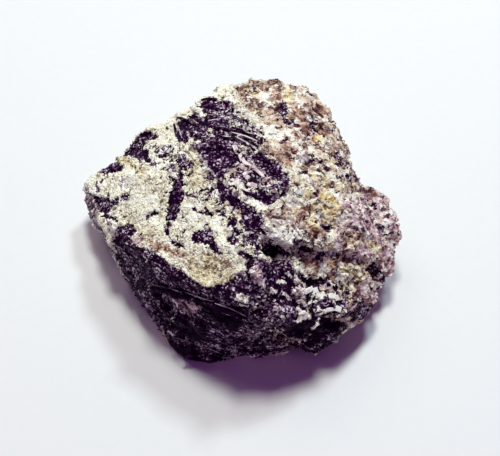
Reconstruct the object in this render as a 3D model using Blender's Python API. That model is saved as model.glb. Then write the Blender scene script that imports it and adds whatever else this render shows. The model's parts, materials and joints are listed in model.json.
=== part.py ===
"""A hand specimen of black tourmaline: schorl grown through pale feldspar and brown mica.

Metres, +Z up. The stone lies on the broken face of its underside, and the origin is the middle of
the stone's box on that level, with +X along its longest side. It is one natural piece, so it is one
solid: blocks broken along rough planes, with grain, ledges, cracks and pits worked into the faces,
and schorl columns that stand a little proud of them. Corners and places are given in millimetres in
the blocks' own frame, which rest_flat centres and sizes at the end.
"""

from dataclasses import dataclass
from math import pi

import bmesh
import bpy
import numpy as np
from mathutils import Matrix, Vector, noise
from mathutils.bvhtree import BVHTree

MM = 0.001
LENGTH = 57.6 * MM  # the stone's longest side, along X

# ---- the broken blocks: corners in millimetres, edge by edge ----

PALE_BLOCK = {
    "left toe": [(-28.8, 11.7, 9.0), (-28.2, 8.9, 8.0), (-26.2, 5.0, 8.0), (-23.4, -2.6, 14.0)],
    "back rim": [(-23.1, 14.8, 12.5), (-18.4, 17.5, 14.5), (-13.2, 19.5, 16.5), (-5.5, 23.2, 20.0)],
    "crown": [(-7.6, 7.5, 26.0), (-16.3, 5.0, 21.0), (1.5, -10.0, 28.5), (3.2, -15.5, 26.0),
              (2.9, 11.5, 26.0)],
    "front edge": [(-15.1, -11.6, 19.0), (-5.1, -18.8, 22.0), (0.3, -21.8, 23.5)],
    "left wall": [(-21.9, -4.5, 3.0), (-16.7, -11.8, 1.5), (-12.6, -17.5, 0.6)],
    "left foot": [(-24.6, 6.6, 0.6), (-21.9, -3.7, 0.0), (-17.2, -12.2, 0.0), (-13.0, -17.4, 0.0)],
    "foot": [(-9.7, -19.7, 0.5), (2.0, -20.4, 1.0), (9.0, -19.5, 2.0), (-20.0, 10.0, 0.0),
             (-6.0, 12.0, 0.0), (8.0, 12.0, 0.0), (12.0, -14.0, 0.0)],
}
BROWN_BLOCK = {
    "back rim": [(-5.5, 23.6, 20.0), (-0.6, 26.5, 20.0), (6.9, 26.1, 20.5), (11.4, 24.4, 20.0),
                 (15.2, 19.2, 18.5), (17.6, 13.6, 16.0), (20.0, 8.6, 15.0)],
    "crown": [(1.1, -10.0, 29.0), (7.3, -3.4, 30.0), (16.0, -3.3, 25.0), (18.7, -3.9, 22.5),
              (9.9, 16.9, 24.5), (-0.6, 16.3, 25.0)],
    "crack edge": [(8.2, -12.9, 26.0), (12.7, -12.0, 23.2), (16.9, -11.0, 20.0),
                   (21.3, -9.3, 16.0), (23.4, -7.3, 13.0)],
    "right wall": [(22.6, 0.2, 16.0), (18.0, -6.0, 4.0), (19.0, 4.0, 5.0), (14.0, 14.0, 6.0),
                   (4.0, 19.0, 7.0), (-8.0, 17.0, 8.0)],
    "foot": [(10.0, 10.0, 0.0), (15.0, 2.0, 0.0), (0.0, -8.0, 0.0), (-6.0, 8.0, 0.0)],
}
RIGHT_BLOCK = {
    "outer rim": [(21.5, 8.8, 13.5), (25.0, 7.4, 12.0), (26.7, 3.6, 11.5), (28.0, 0.2, 11.0),
                  (27.9, -2.6, 9.0), (26.6, -5.6, 7.0), (24.6, -9.0, 6.0)],
    "shoulder": [(23.0, 1.0, 14.5), (24.0, -5.0, 12.0)],
    "root": [(14.0, 6.0, 13.0), (14.0, -6.0, 13.0), (16.0, 6.0, 3.0), (17.0, -8.0, 2.0)],
}
FRONT_BLOCK = {
    "upper edge": [(3.2, -15.7, 24.5), (9.9, -12.6, 21.6), (16.9, -11.0, 17.6), (22.4, -10.4, 12.6)],
    "ledge": [(3.2, -22.0, 20.0), (9.9, -21.0, 16.0), (17.8, -17.2, 12.6), (23.6, -12.2, 8.0)],
    "lower rim": [(24.1, -10.2, 6.0), (21.6, -15.6, 6.0), (15.5, -18.8, 4.5), (12.0, -20.2, 3.0)],
    "root": [(0.0, -12.0, 18.0), (0.0, -18.0, 4.0), (12.0, -6.0, 14.0), (15.0, -8.0, 1.0)],
}


@dataclass(frozen=True)
class Hollow:
    """A crack or pit: the surface within reach of a line of points is pressed in by depth."""

    name: str
    line: tuple
    reach: float
    depth: float


HOLLOWS = (
    Hollow("crack under the brown slope",
           ((7.0, -13.4, 25.0), (12.7, -12.4, 22.4), (17.2, -11.2, 19.2), (21.5, -9.8, 15.2),
            (24.4, -9.4, 10.6)), 1.7, 1.5),
    Hollow("cave at the crack's left end", ((9.4, -13.2, 23.6), (12.4, -12.8, 22.0)), 2.3, 1.7),
    Hollow("pit in the front ledge", ((12.2, -18.6, 12.0), (15.0, -17.6, 10.8)), 3.0, 2.4),
    Hollow("undercut of the front foot", ((3.0, -21.0, 9.5), (12.0, -20.0, 8.0)), 2.8, 1.5),
    Hollow("small socket", ((11.2, -15.6, 19.2), (12.4, -15.2, 18.8)), 1.5, 1.2),
    Hollow("groove beside the right block",
           ((20.6, 7.6, 14.6), (23.0, 1.4, 15.0), (24.0, -5.2, 12.4)), 1.6, 1.0),
    Hollow("notch in the back rim", ((-14.9, 19.7, 16.5), (-15.2, 19.8, 12.0)), 2.0, 1.2),
    Hollow("hollow of the back", ((-6.0, 18.0, 9.0), (4.0, 19.0, 8.0)), 6.0, 1.8),
)


# Where the relief is calmer: centre and reach in millimetres, and the share of it that is left.
CALM = (
    ((-12.0, 0.0, 20.0), (15.0, 14.0, 10.0), 0.35),
    ((-8.0, -19.0, 13.0), (14.0, 7.0, 12.0), 0.5),
    ((0.0, -3.0, 0.0), (20.0, 18.0, 3.0), 0.3),
)


@dataclass(frozen=True)
class Column:
    """A schorl column lying in the surface nearest to at, running along, in millimetres."""

    name: str
    at: tuple
    along: tuple
    length: float
    width: float
    proud: float = 0.25  # the share of its width that stands clear of the rock


COLUMNS = (
    Column("blade across the pale face", (-12.3, 1.6, 22.5), (-0.34, -1.0, 0.05), 9.4, 2.2),
    Column("long column under the front edge", (-8.1, -17.5, 19.5), (1.0, -0.42, -0.12), 18.5, 3.2),
    Column("column beside the long one", (-4.0, -19.4, 19.0), (1.0, -0.36, -0.16), 13.0, 2.6, 0.2),
    Column("front band, left", (-17.1, -8.5, 18.0), (1.0, -0.72, 0.0), 10.5, 3.4, 0.2),
    Column("front band, middle", (-9.2, -15.4, 21.0), (1.0, -0.55, 0.0), 10.0, 3.0, 0.2),
    Column("knob at the left end", (-21.0, -2.5, 16.0), (0.5, -0.6, 0.3), 3.8, 3.6, 0.35),
    Column("column along the foot", (-4.2, -19.8, 2.8), (1.0, -0.08, -0.02), 11.5, 2.6, 0.2),
    Column("low column of the front", (-6.4, -18.9, 9.0), (1.0, -0.3, -0.18), 11.0, 2.2),
    Column("low column, right", (1.0, -20.6, 12.0), (1.0, -0.3, -0.2), 8.0, 2.4),
    Column("crown lath, far", (-7.2, 12.2, 25.4), (1.0, -0.25, 0.05), 8.4, 1.8),
    Column("crown lath, middle", (-4.0, 9.2, 26.2), (1.0, -0.12, 0.0), 9.6, 1.6),
    Column("crown lath, near", (-3.6, 6.6, 27.0), (1.0, -0.2, 0.05), 10.5, 2.4),
    Column("slanting band", (4.0, 1.6, 29.0), (1.0, -0.85, 0.1), 9.0, 2.6, 0.18),
    Column("lower band", (4.2, -3.4, 30.0), (1.0, 0.12, 0.0), 7.0, 2.0, 0.15),
    Column("band down to the crack", (2.2, -8.2, 29.0), (0.7, -1.0, 0.0), 7.5, 2.4, 0.15),
    Column("far left mass", (-23.7, 12.3, 12.5), (1.0, 0.5, 0.0), 4.0, 2.6, 0.2),
    Column("back rim tooth", (-16.8, 16.9, 16.0), (1.0, 0.1, 0.0), 4.0, 2.6, 0.3),
    Column("far back band", (-6.0, 19.0, 22.6), (1.0, 0.05, 0.1), 5.4, 2.4, 0.25),
    Column("back column, upper", (2.0, 22.0, 14.0), (1.0, 0.2, -0.35), 14.0, 3.0),
    Column("back column, lower", (-8.0, 15.0, 8.0), (1.0, 0.3, 0.25), 10.0, 2.6),
    Column("right wall column", (20.0, 6.0, 8.0), (0.3, -1.0, 0.3), 9.0, 2.4),
    Column("left wall column", (-20.0, 2.0, 10.0), (0.4, 1.0, -0.5), 10.0, 2.6),
)

BLOCK_VOXEL = 0.62  # millimetres, the mesh that the relief is worked on
RELIEF_VOXEL = 0.5  # millimetres, which closes up what the relief has folded
TRIANGLES = 7600  # of the rock before the columns are joined to it
CUT = 0.9 * MM  # how much is cut off the underside's lowest bumps, so that the stone lies flat
SEED = 1  # of the relief's noise vectors
CELL_KEY = 17.0  # spreads neighbouring cells' places out, so that their levels differ
ACROSS_GRAIN = Vector((0.36, 0.86, 0.38))
LEDGE = 3.4  # millimetres from one ledge to the next
SCHORL = (0.016, 0.011, 0.02, 1.0)


def hull_into(shape, block):
    """Adds the convex body round a block's corners to a bmesh."""
    made = bmesh.new()
    for edge in block.values():
        for corner in edge:
            made.verts.new(Vector(corner) * MM)
    found = bmesh.ops.convex_hull(made, input=made.verts)
    inside = {v for v in found["geom_interior"] + found["geom_unused"] if isinstance(v, bmesh.types.BMVert)}
    bmesh.ops.delete(made, geom=list(inside), context="VERTS")
    bmesh.ops.recalc_face_normals(made, faces=made.faces)
    mesh = bpy.data.meshes.new("hull")
    made.to_mesh(mesh)
    made.free()
    shape.from_mesh(mesh)
    bpy.data.meshes.remove(mesh)


def add_object(name, shape):
    """Turns a bmesh into an object of the scene."""
    mesh = bpy.data.meshes.new(name)
    shape.to_mesh(mesh)
    shape.free()
    thing = bpy.data.objects.new(name, mesh)
    bpy.context.scene.collection.objects.link(thing)
    return thing


def bake(thing):
    """Replaces an object's mesh with what its modifiers make of it."""
    graph = bpy.context.evaluated_depsgraph_get()
    thing.data = bpy.data.meshes.new_from_object(thing.evaluated_get(graph))
    thing.modifiers.clear()


def grow_together(thing, voxel):
    """Makes overlapping closed shapes one body, in an even mesh of this cell in millimetres."""
    voxels = thing.modifiers.new("grow together", "REMESH")
    voxels.mode = "VOXEL"
    voxels.voxel_size = voxel * MM
    bake(thing)
    keep_outside(thing)


def keep_outside(thing):
    """Deletes every sealed bubble inside a body: all shells but the one with the most corners."""
    shape = bmesh.new()
    shape.from_mesh(thing.data)
    left = set(shape.verts)
    shells = []
    while left:
        shell, edge = set(), [left.pop()]
        while edge:
            vert = edge.pop()
            shell.add(vert)
            beside = {e.other_vert(vert) for e in vert.link_edges} & left
            left -= beside
            edge.extend(beside)
        shells.append(shell)
    shells.sort(key=len)
    bmesh.ops.delete(shape, geom=[v for shell in shells[:-1] for v in shell], context="VERTS")
    shape.to_mesh(thing.data)
    shape.free()


def broken_blocks():
    """Returns the blocks grown into one body, in an even mesh."""
    shape = bmesh.new()
    for block in (PALE_BLOCK, BROWN_BLOCK, RIGHT_BLOCK, FRONT_BLOCK):
        hull_into(shape, block)
    rock = add_object("tourmaline_rock", shape)
    grow_together(rock, BLOCK_VOXEL)
    return rock


def blocky(point, size):
    """Returns -1 to 1: every cell of this size, in millimetres, has a level and a tilt of its own."""
    spot = point / size
    near = noise.voronoi(spot)[1][0]
    tilt = noise.noise_vector(near * CELL_KEY)
    level = noise.noise(near * CELL_KEY + Vector((0.0, 0.0, 83.0)))
    return max(-1.0, min(1.0, level * 1.6 + (spot - near).dot(tilt) * 2.2))


def ledges(point):
    """Returns 0 to 1: a saw tooth across the schorl's grain, as where it splits in sheets."""
    drift = noise.noise(point / 9.0) * 2.4
    return ((point.dot(ACROSS_GRAIN) + drift) / LEDGE) % 1.0


def distance_to_line(spots, line):
    """Returns how far each spot is from a line of points."""
    best = np.full(len(spots), np.inf)
    for start, end in zip(line, line[1:]):
        a = np.array(start)
        run = np.array(end) - a
        along = np.clip((spots - a) @ run / (run @ run), 0.0, 1.0)
        best = np.minimum(best, np.linalg.norm(spots - a - along[:, None] * run, axis=1))
    return best


def work_relief(rock):
    """Breaks up the faces with lumps, ledges, cracks and pits."""
    mesh = rock.data
    spots = np.array([v.co for v in mesh.vertices]) / MM
    outward = np.array([v.normal for v in mesh.vertices])
    rise = np.empty(len(spots))
    for i, spot in enumerate(map(Vector, spots)):
        rise[i] = (
            0.8 * noise.noise(spot / 11.0)
            + 0.55 * blocky(spot, 6.0)
            + 0.3 * blocky(spot, 3.0)
            + 0.3 * (ledges(spot) - 0.5)
        )
    for place, reach, share in CALM:
        near = np.clip(1.3 - np.linalg.norm((spots - place) / reach, axis=1), 0.0, 1.0)
        rise *= 1.0 - (1.0 - share) * near
    for hollow in HOLLOWS:
        away = distance_to_line(spots, hollow.line) / hollow.reach
        rise -= hollow.depth * np.clip(1.0 - away**2, 0.0, 1.0) ** 1.5
    spots += outward * rise[:, None]
    mesh.vertices.foreach_set("co", (spots * MM).astype(np.float32).ravel())


def column_shape(column):
    """Returns a six-sided prism along X, tapering a little, flattened and with slanting ends."""
    shape = bmesh.new()
    half = column.width / 2 * MM
    bmesh.ops.create_cone(shape, cap_ends=True, segments=6, radius1=half, radius2=half * 0.86,
                          depth=column.length * MM)
    for vert in shape.verts:
        vert.co.x *= 1.18
        vert.co.z += vert.co.x * 0.5
    bmesh.ops.rotate(shape, verts=shape.verts, matrix=Matrix.Rotation(pi / 2, 3, "Y"))
    return shape


def join_columns(rock, surface):
    """Lays every column along the rock's face, square to the smooth blocks, and joins it on."""
    relief = BVHTree.FromObject(rock, bpy.context.evaluated_depsgraph_get())
    prisms = []
    for column in COLUMNS:
        place, outward, _, _ = surface.find_nearest(Vector(column.at) * MM)
        along = Vector(column.along)
        along = (along - outward * along.dot(outward)).normalized() * column.length * 0.4 * MM
        start, end = (relief.find_nearest(place + step)[0] for step in (-along, along))
        along = (end - start).normalized()
        outward = (outward - along * outward.dot(along)).normalized()
        side = outward.cross(along)
        seat = (start + end) / 2 + outward * column.width * MM * (column.proud - 0.5)
        prism = add_object("column", column_shape(column))
        prism.data.transform(Matrix((along, side, outward)).transposed().to_4x4())
        prism.data.transform(Matrix.Translation(seat))
        prisms.append(prism)
        union = rock.modifiers.new(column.name, "BOOLEAN")
        union.operation = "UNION"
        union.object = prism
    bake(rock)
    for prism in prisms:
        bpy.data.objects.remove(prism)
    keep_outside(rock)


def thin_out(rock):
    """Leaves the faces that the shape needs."""
    rock.data.calc_loop_triangles()
    fewer = rock.modifiers.new("fewer faces", "DECIMATE")
    fewer.ratio = TRIANGLES / len(rock.data.loop_triangles)
    bake(rock)


def rest_flat(rock):
    """Cuts the underside flat, sizes the stone and puts the origin under the middle of its box."""
    shape = bmesh.new()
    shape.from_mesh(rock.data)
    level = min(v.co.z for v in shape.verts) + CUT
    made = bmesh.ops.bisect_plane(shape, geom=shape.verts[:] + shape.edges[:] + shape.faces[:],
                                  plane_co=(0.0, 0.0, level), plane_no=(0.0, 0.0, -1.0), clear_outer=True)
    rim = [e for e in made["geom_cut"] if isinstance(e, bmesh.types.BMEdge)]
    bmesh.ops.contextual_create(shape, geom=rim)
    bmesh.ops.triangulate(shape, faces=shape.faces)
    shape.to_mesh(rock.data)
    shape.free()
    keep_outside(rock)
    points = np.array([v.co for v in rock.data.vertices])
    low, high = points.min(0), points.max(0)
    scale = LENGTH / (high[0] - low[0])
    rock.data.transform(Matrix.Translation((-(low[0] + high[0]) / 2, -(low[1] + high[1]) / 2, -low[2])))
    rock.data.transform(Matrix.Scale(scale, 4))


def stone_finish():
    """Returns near-black glassy schorl, the stone's main colour."""
    finish = bpy.data.materials.new("schorl_in_feldspar")
    finish.use_nodes = True
    surface = finish.node_tree.nodes["Principled BSDF"]
    surface.inputs["Base Color"].default_value = SCHORL
    surface.inputs["Roughness"].default_value = 0.35
    return finish


def main():
    for old in list(bpy.data.objects):
        bpy.data.objects.remove(old)
    noise.seed_set(SEED)
    rock = broken_blocks()
    surface = BVHTree.FromObject(rock, bpy.context.evaluated_depsgraph_get())
    work_relief(rock)
    grow_together(rock, RELIEF_VOXEL)
    thin_out(rock)
    join_columns(rock, surface)
    rest_flat(rock)
    rock.data.materials.clear()
    rock.data.materials.append(stone_finish())
    rock.data.shade_flat()


if __name__ == "__main__":
    main()
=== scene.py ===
"""The looks of a black tourmaline hand specimen: schorl in sugary feldspar and brown mica.

Metres, +Z up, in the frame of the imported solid, which lies on the floor at z = 0. Patches of mineral
are drawn on the plane that faces the sight line, to the right and up from its middle, and thrown from
there onto the stone. What that view doesn't reach follows a rule of its own.
"""

from __future__ import annotations

import json
import logging
from dataclasses import dataclass
from enum import Enum
from math import cos, radians, sin
from typing import Any, Iterable, Sequence

import bmesh
import bpy
import numpy as np
from mathutils import Euler, Matrix, Vector, noise
from mathutils.bvhtree import BVHTree

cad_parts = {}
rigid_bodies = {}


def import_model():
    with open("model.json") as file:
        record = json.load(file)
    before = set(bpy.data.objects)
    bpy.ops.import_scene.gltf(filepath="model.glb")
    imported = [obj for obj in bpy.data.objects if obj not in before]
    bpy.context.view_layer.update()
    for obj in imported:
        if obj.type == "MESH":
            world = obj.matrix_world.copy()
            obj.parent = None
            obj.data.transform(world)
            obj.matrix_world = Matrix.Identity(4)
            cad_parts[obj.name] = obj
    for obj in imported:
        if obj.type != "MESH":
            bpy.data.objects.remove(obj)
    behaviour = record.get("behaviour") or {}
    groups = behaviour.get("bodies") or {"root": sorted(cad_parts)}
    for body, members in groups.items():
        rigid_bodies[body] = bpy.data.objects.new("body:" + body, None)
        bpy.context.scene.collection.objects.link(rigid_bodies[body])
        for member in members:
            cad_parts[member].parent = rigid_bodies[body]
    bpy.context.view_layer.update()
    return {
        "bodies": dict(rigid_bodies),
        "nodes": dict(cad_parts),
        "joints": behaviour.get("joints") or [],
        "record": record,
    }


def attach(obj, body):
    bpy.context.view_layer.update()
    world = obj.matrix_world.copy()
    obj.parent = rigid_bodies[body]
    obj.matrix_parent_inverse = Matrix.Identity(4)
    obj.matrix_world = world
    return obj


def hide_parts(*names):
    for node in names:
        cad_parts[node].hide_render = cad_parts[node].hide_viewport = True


MM = 0.001
NODE = "tourmaline_rock"
BODY = "root"

Colour = tuple[float, float, float]
Stops = tuple[tuple[float, float, float, float], ...]
Place = tuple[float, float]
Layers = tuple[tuple[float, float, float], ...]

log = logging.getLogger("tourmaline")


# ---- where the stone is seen from ----


@dataclass(frozen=True)
class Sight:
    """The main view of the stone, and the plane through it on which patches are drawn.

    Attributes:
        elevation: degrees above the floor, looking along +Y.
        distance: metres from the eye to the plane.
        middle: the point of the plane in the middle of the view, in metres.
        width: how much of the plane the view holds from side to side, in metres.
    """

    elevation: float = 58.0
    distance: float = 0.24
    middle: Vector = Vector((1.83, -2.86, 13.07)) * MM
    width: float = 88.05 * MM

    @property
    def back(self) -> Vector:
        """The way from the stone to the eye."""
        return Vector((0.0, -cos(radians(self.elevation)), sin(radians(self.elevation))))

    @property
    def up(self) -> Vector:
        """The way on the plane that is up."""
        return Vector((0.0, sin(radians(self.elevation)), cos(radians(self.elevation))))

    @property
    def eye(self) -> Vector:
        """Where the stone is seen from."""
        return self.middle + self.back * self.distance

    def to_plane(self, points: np.ndarray) -> np.ndarray:
        """Finds where points appear on the plane.

        Args:
            points: places in metres, one a row.

        Returns:
            Millimetres to the right and up from the plane's middle, one a row.
        """
        seen = points - np.array(self.eye)
        depth = -seen @ np.array(self.back)
        flat = np.stack([seen[:, 0], seen @ np.array(self.up)], axis=1)
        return flat * (self.distance / depth / MM)[:, None]

    def ray(self, place: Place) -> tuple[Vector, Vector]:
        """Returns the eye and the direction from it through a place on the plane."""
        target = self.middle + Vector((place[0] * MM, 0.0, 0.0)) + self.up * place[1] * MM
        return self.eye, (target - self.eye).normalized()


SIGHT = Sight()


# ---- the minerals, and where they are ----


class Mineral(Enum):
    """What a patch is made of. Its value names the attribute that carries it on a mesh."""

    SCHORL = "schorl"
    SLOPE = "slope"
    OCHRE = "ochre"
    GOLD = "gold"
    RUST = "rust"
    ROSE = "rose"
    GREY = "grey"
    WHITE = "white"
    # The darkest schorl, without glints; in hollows, pits and under ledges it is also painted shade.
    DEEP_AND_SHADE = "deep"


FRONT_FACE = "front face"
"""The schorl patch whose columns lie the common way, and not along its outline."""


@dataclass(frozen=True)
class Patch:
    """A patch of one mineral as the sight line shows it.

    Attributes:
        name: what it is on the stone.
        mineral: what it is made of.
        spots: the corners of its outline, or of its middle line if it has a width, each x and then y in
            tenths of a millimetre on the plane.
        width: how wide a stripe along the line is in millimetres, or 0 for a closed outline.
        share: how much of its ground it covers.
        over: whether it lies on the schorl.
    """

    name: str
    mineral: Mineral
    spots: tuple[int, ...]
    width: float = 0.0
    share: float = 1.0
    over: bool = False

    @property
    def line(self) -> tuple[Place, ...]:
        """The corners, in millimetres."""
        return in_pairs(self.spots)

    def depth(self, spots: np.ndarray) -> np.ndarray:
        """Measures how far inside the patch spots are.

        Args:
            spots: places on the plane, one a row.

        Returns:
            Millimetres from the border, below 0 outside.
        """
        ends = self.line[1:] if self.width else self.line[1:] + self.line[:1]
        near = np.full(len(spots), np.inf)
        inside = np.zeros(len(spots), bool)
        for start, end in zip(self.line, ends):
            a, run = np.array(start), np.subtract(end, start)
            along = np.clip((spots - a) @ run / (run @ run), 0.0, 1.0)
            near = np.minimum(near, np.linalg.norm(spots - a - along[:, None] * run, axis=1))
            if run[1]:
                crosses = (spots[:, 1] < a[1]) != (spots[:, 1] < end[1])
                inside ^= crosses & (spots[:, 0] < a[0] + (spots[:, 1] - a[1]) * run[0] / run[1])
        return self.width / 2 - near if self.width else np.where(inside, near, -near)

    def reaches(self, spots: np.ndarray, margin: float) -> np.ndarray:
        """Returns which spots lie in the patch's box with this margin in millimetres."""
        low = np.min(self.line, axis=0) - margin - self.width / 2
        high = np.max(self.line, axis=0) + margin + self.width / 2
        return ((spots > low) & (spots < high)).all(axis=1)

    @property
    def direction(self) -> np.ndarray:
        """The patch's longer way on the plane, which its columns follow."""
        points = np.array(self.line)
        _, _, ways = np.linalg.svd(points - points.mean(axis=0))
        return ways[0] * (1.0 if ways[0][0] >= 0 else -1.0)


def in_pairs(spots: Sequence[int]) -> tuple[Place, ...]:
    """Returns the places in millimetres that a run of tenths of a millimetre holds, each x and then y."""
    return tuple((x / 10, y / 10) for x, y in zip(spots[::2], spots[1::2]))


def drawn(mineral: Mineral, *rows: tuple) -> tuple[Patch, ...]:
    """Returns patches of one mineral.

    Args:
        mineral: what they are made of.
        rows: each one's name and spots, and then its width, share and over where they aren't the usual.
    """
    return tuple(Patch(name, mineral, *rest) for name, *rest in rows)


# Schorl, and dark patches that paint the shade in the cave, the crack, the pits, the undercut and between
# grains.
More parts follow.
